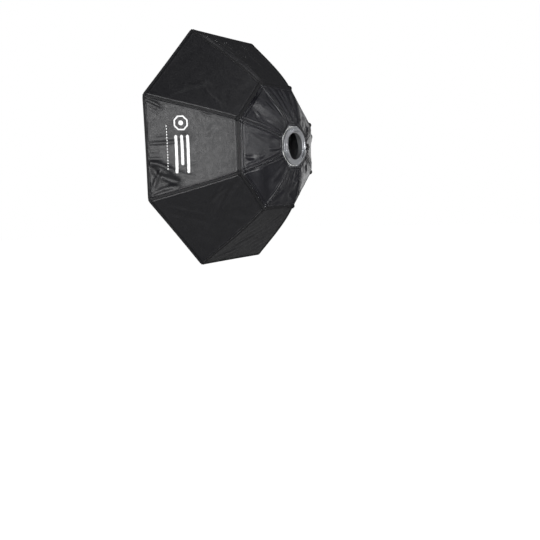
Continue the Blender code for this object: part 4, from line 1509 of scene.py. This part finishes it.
def make_inner_diffuser(materials):
    """The inner diffuser, drawn in between the elastic straps that hold its corners."""
    white, elastic = materials["white_nylon"], materials["white_elastic"]
    shape = (BAFFLE_BOW, BAFFLE_BLUNT)
    relief = pulled(6, 11, 0.0022, -0.004)
    sheet = flat_sheet("baffle_cloth", BAFFLE_CORNER, BAFFLE_DEPTH, relief, [white], *shape, 56, 26)
    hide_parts("inner_diffuser")
    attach(sheet, "softbox")
    depth, hem = BAFFLE_DEPTH, BAFFLE_HEM
    edge = flat_band("baffle_hem", BAFFLE_CORNER, hem, depth, HEM_THICK, white, relief, *shape)
    finish_trim(edge, "softbox")
    face = depth + HEM_THICK
    sewn = band_stitches("baffle_stitches", BAFFLE_CORNER, hem - 0.0015, face, relief, materials,
                         "softbox", *shape)
    start, end = STRAP_ENDS
    for i in range(RIBS):
        out, cross = basis(i + 0.5)

        def place(station, offset, lift, out=out, cross=cross):
            middle = np.sin((station - start) / (end - start) * math.pi)
            narrow = 1 - 0.12 * middle
            point = station[..., None] * out + (np.asarray(offset) * narrow)[..., None] * cross
            point[..., 1] = -(depth - STRAP_SAG * middle + lift - 0.0003)
            return point

        strap = tape(f"elastic_{i + 1}", place, np.linspace(start, end, 60), STRAP_WIDTH, 0.0010, elastic)
        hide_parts(f"elastic_strap_{i + 1}")
        finish_trim(strap, "softbox")


# ---------------------------------------------------------------- camera, light, floor


def camera_axes(azimuth, elevation, roll):
    """Right, up and back unit vectors of a camera that looks at the object from this side."""
    a, e, r = (math.radians(x) for x in (azimuth, elevation, roll))
    back = Vector((math.sin(a) * math.cos(e), -math.cos(a) * math.cos(e), math.sin(e)))
    level = Vector((math.cos(a), math.sin(a), 0))
    up = back.cross(level)
    right = level * math.cos(r) + up * math.sin(r)
    return right, back.cross(right), back


CAMERA_ANGLES = (126.95, 7.91, -1.69)  # azimuth, elevation and roll in degrees
CAMERA_LENS = 42.55
CAMERA_TARGET = Vector((0, 0.02, 0))
CAMERA_OFFSET = (-0.110, -0.458, 2.354)  # right, up and back of the target
FLOOR_Z = -1.33
FLOOR_TONES = ((0.262, 0.262, 0.262), (0.278, 0.278, 0.278))
# Name, place, target, size and power
LIGHTS = [
    ("key", (3.15, 1.65, 0.12), (0.30, -0.15, 0.0), (1.5, 0.9), 135),
    ("key_right", (0.9, 3.2, 0.15), (0.15, 0.0, 0.0), (1.3, 0.8), 30),
    ("side_fill", (-3.0, 0.3, -0.1), (0, 0, 0), (1.6, 1.6), 12),
    ("back_fill", (-1.43, 2.96, 0.85), (0, 0, 0), (0.9, 0.9), 18),
    ("left_fill", (-2.8, -0.6, -0.1), (0, 0, 0), (1.8, 1.8), 14),
    ("front_fill", (-1.9, -2.9, 1.5), (0, 0, 0), (1.8, 1.8), 95),
    ("overhead", (-0.95, 0.75, 3.05), (0, 0, 0), (1.4, 1.4), 10),
]


def make_camera():
    """The camera, placed by its angles, its distance and the point it looks at."""
    right, up, back = camera_axes(*CAMERA_ANGLES)
    data = bpy.data.cameras.new("camera")
    data.sensor_width = 36
    data.lens = CAMERA_LENS
    data.clip_end = 60
    camera = link(bpy.data.objects.new("camera", data))
    turn = Matrix((right, up, back)).transposed()
    place = CAMERA_TARGET + right * CAMERA_OFFSET[0] + up * CAMERA_OFFSET[1] + back * CAMERA_OFFSET[2]
    camera.matrix_world = Matrix.Translation(place) @ turn.to_4x4()
    bpy.context.scene.camera = camera


def area_light(name, place, target, size, power):
    """A soft white light that faces its target."""
    data = bpy.data.lights.new(name, "AREA")
    data.shape = "RECTANGLE"
    data.size, data.size_y = size
    data.energy = power
    light = link(bpy.data.objects.new(name, data))
    away = Vector(place) - Vector(target)
    light.matrix_world = Matrix.Translation(place) @ away.to_track_quat("Z", "Y").to_matrix().to_4x4()


def make_studio():
    """World, floor and lights; the camera sees the world and the floor as white."""
    scene = bpy.context.scene
    scene.view_settings.view_transform = "Standard"
    world = bpy.data.worlds.new("studio")
    scene.world = world
    world.use_nodes = True
    tree = world.node_tree
    background = tree.nodes["Background"]
    seen = add_node(tree, "ShaderNodeLightPath").outputs["Is Camera Ray"]
    colour = colour_between(tree, seen, (0.055, 0.055, 0.06), (1.0, 1.0, 1.0))
    tree.links.new(colour, background.inputs["Color"])

    bpy.ops.mesh.primitive_circle_add(vertices=96, radius=14, fill_type="NGON", location=(0, 0, FLOOR_Z))
    floor = bpy.context.object
    floor.name = "floor"
    material, tree, shader = new_material("floor", (0.27, 0.27, 0.27), 0.8, specular=0.2)
    place = add_node(tree, "ShaderNodeTexCoord").outputs["Object"]
    tint = remap(tree, noise(tree, place, 0.6), 0, 1)
    tree.links.new(colour_between(tree, tint, *FLOOR_TONES), shader.inputs["Base Color"])
    lit = add_node(tree, "ShaderNodeLightPath").outputs["Is Camera Ray"]
    shader.inputs["Emission Color"].default_value = (1, 1, 1, 1)
    tree.links.new(lit, shader.inputs["Emission Strength"])
    floor.data.materials.append(material)

    for light in LIGHTS:
        area_light(*light)


# ---------------------------------------------------------------- build

MATERIALS = make_materials()


def paint_cad():
    """Gives the CAD nodes that stay their detailed materials."""
    slots = {part["node"]: part["material_slot"] for part in frame["record"]["subparts"]}
    for name, obj in frame["nodes"].items():
        material = MATERIALS[slots[name]]
        for slot in obj.material_slots:
            slot.material = material


paint_cad()
OUTER = make_outer_cloths()
FLAPS = make_flap_cloths()
make_outer_panels(OUTER, make_corner_pockets(OUTER, MATERIALS), MATERIALS)
make_knee_loops(OUTER, MATERIALS)
make_rear_flaps(FLAPS, MATERIALS)
make_rib_tapes(OUTER, MATERIALS)
make_knee_band(OUTER, MATERIALS)
make_binding(OUTER, MATERIALS)
make_flap_hems(FLAPS, MATERIALS)
make_mark(OUTER[0], MATERIALS)
make_bayonet_ring(MATERIALS)
make_rod_ring(MATERIALS)
make_rods(MATERIALS)
make_lock(MATERIALS)
make_front(MATERIALS)
make_inner_diffuser(MATERIALS)
make_camera()
make_studio()
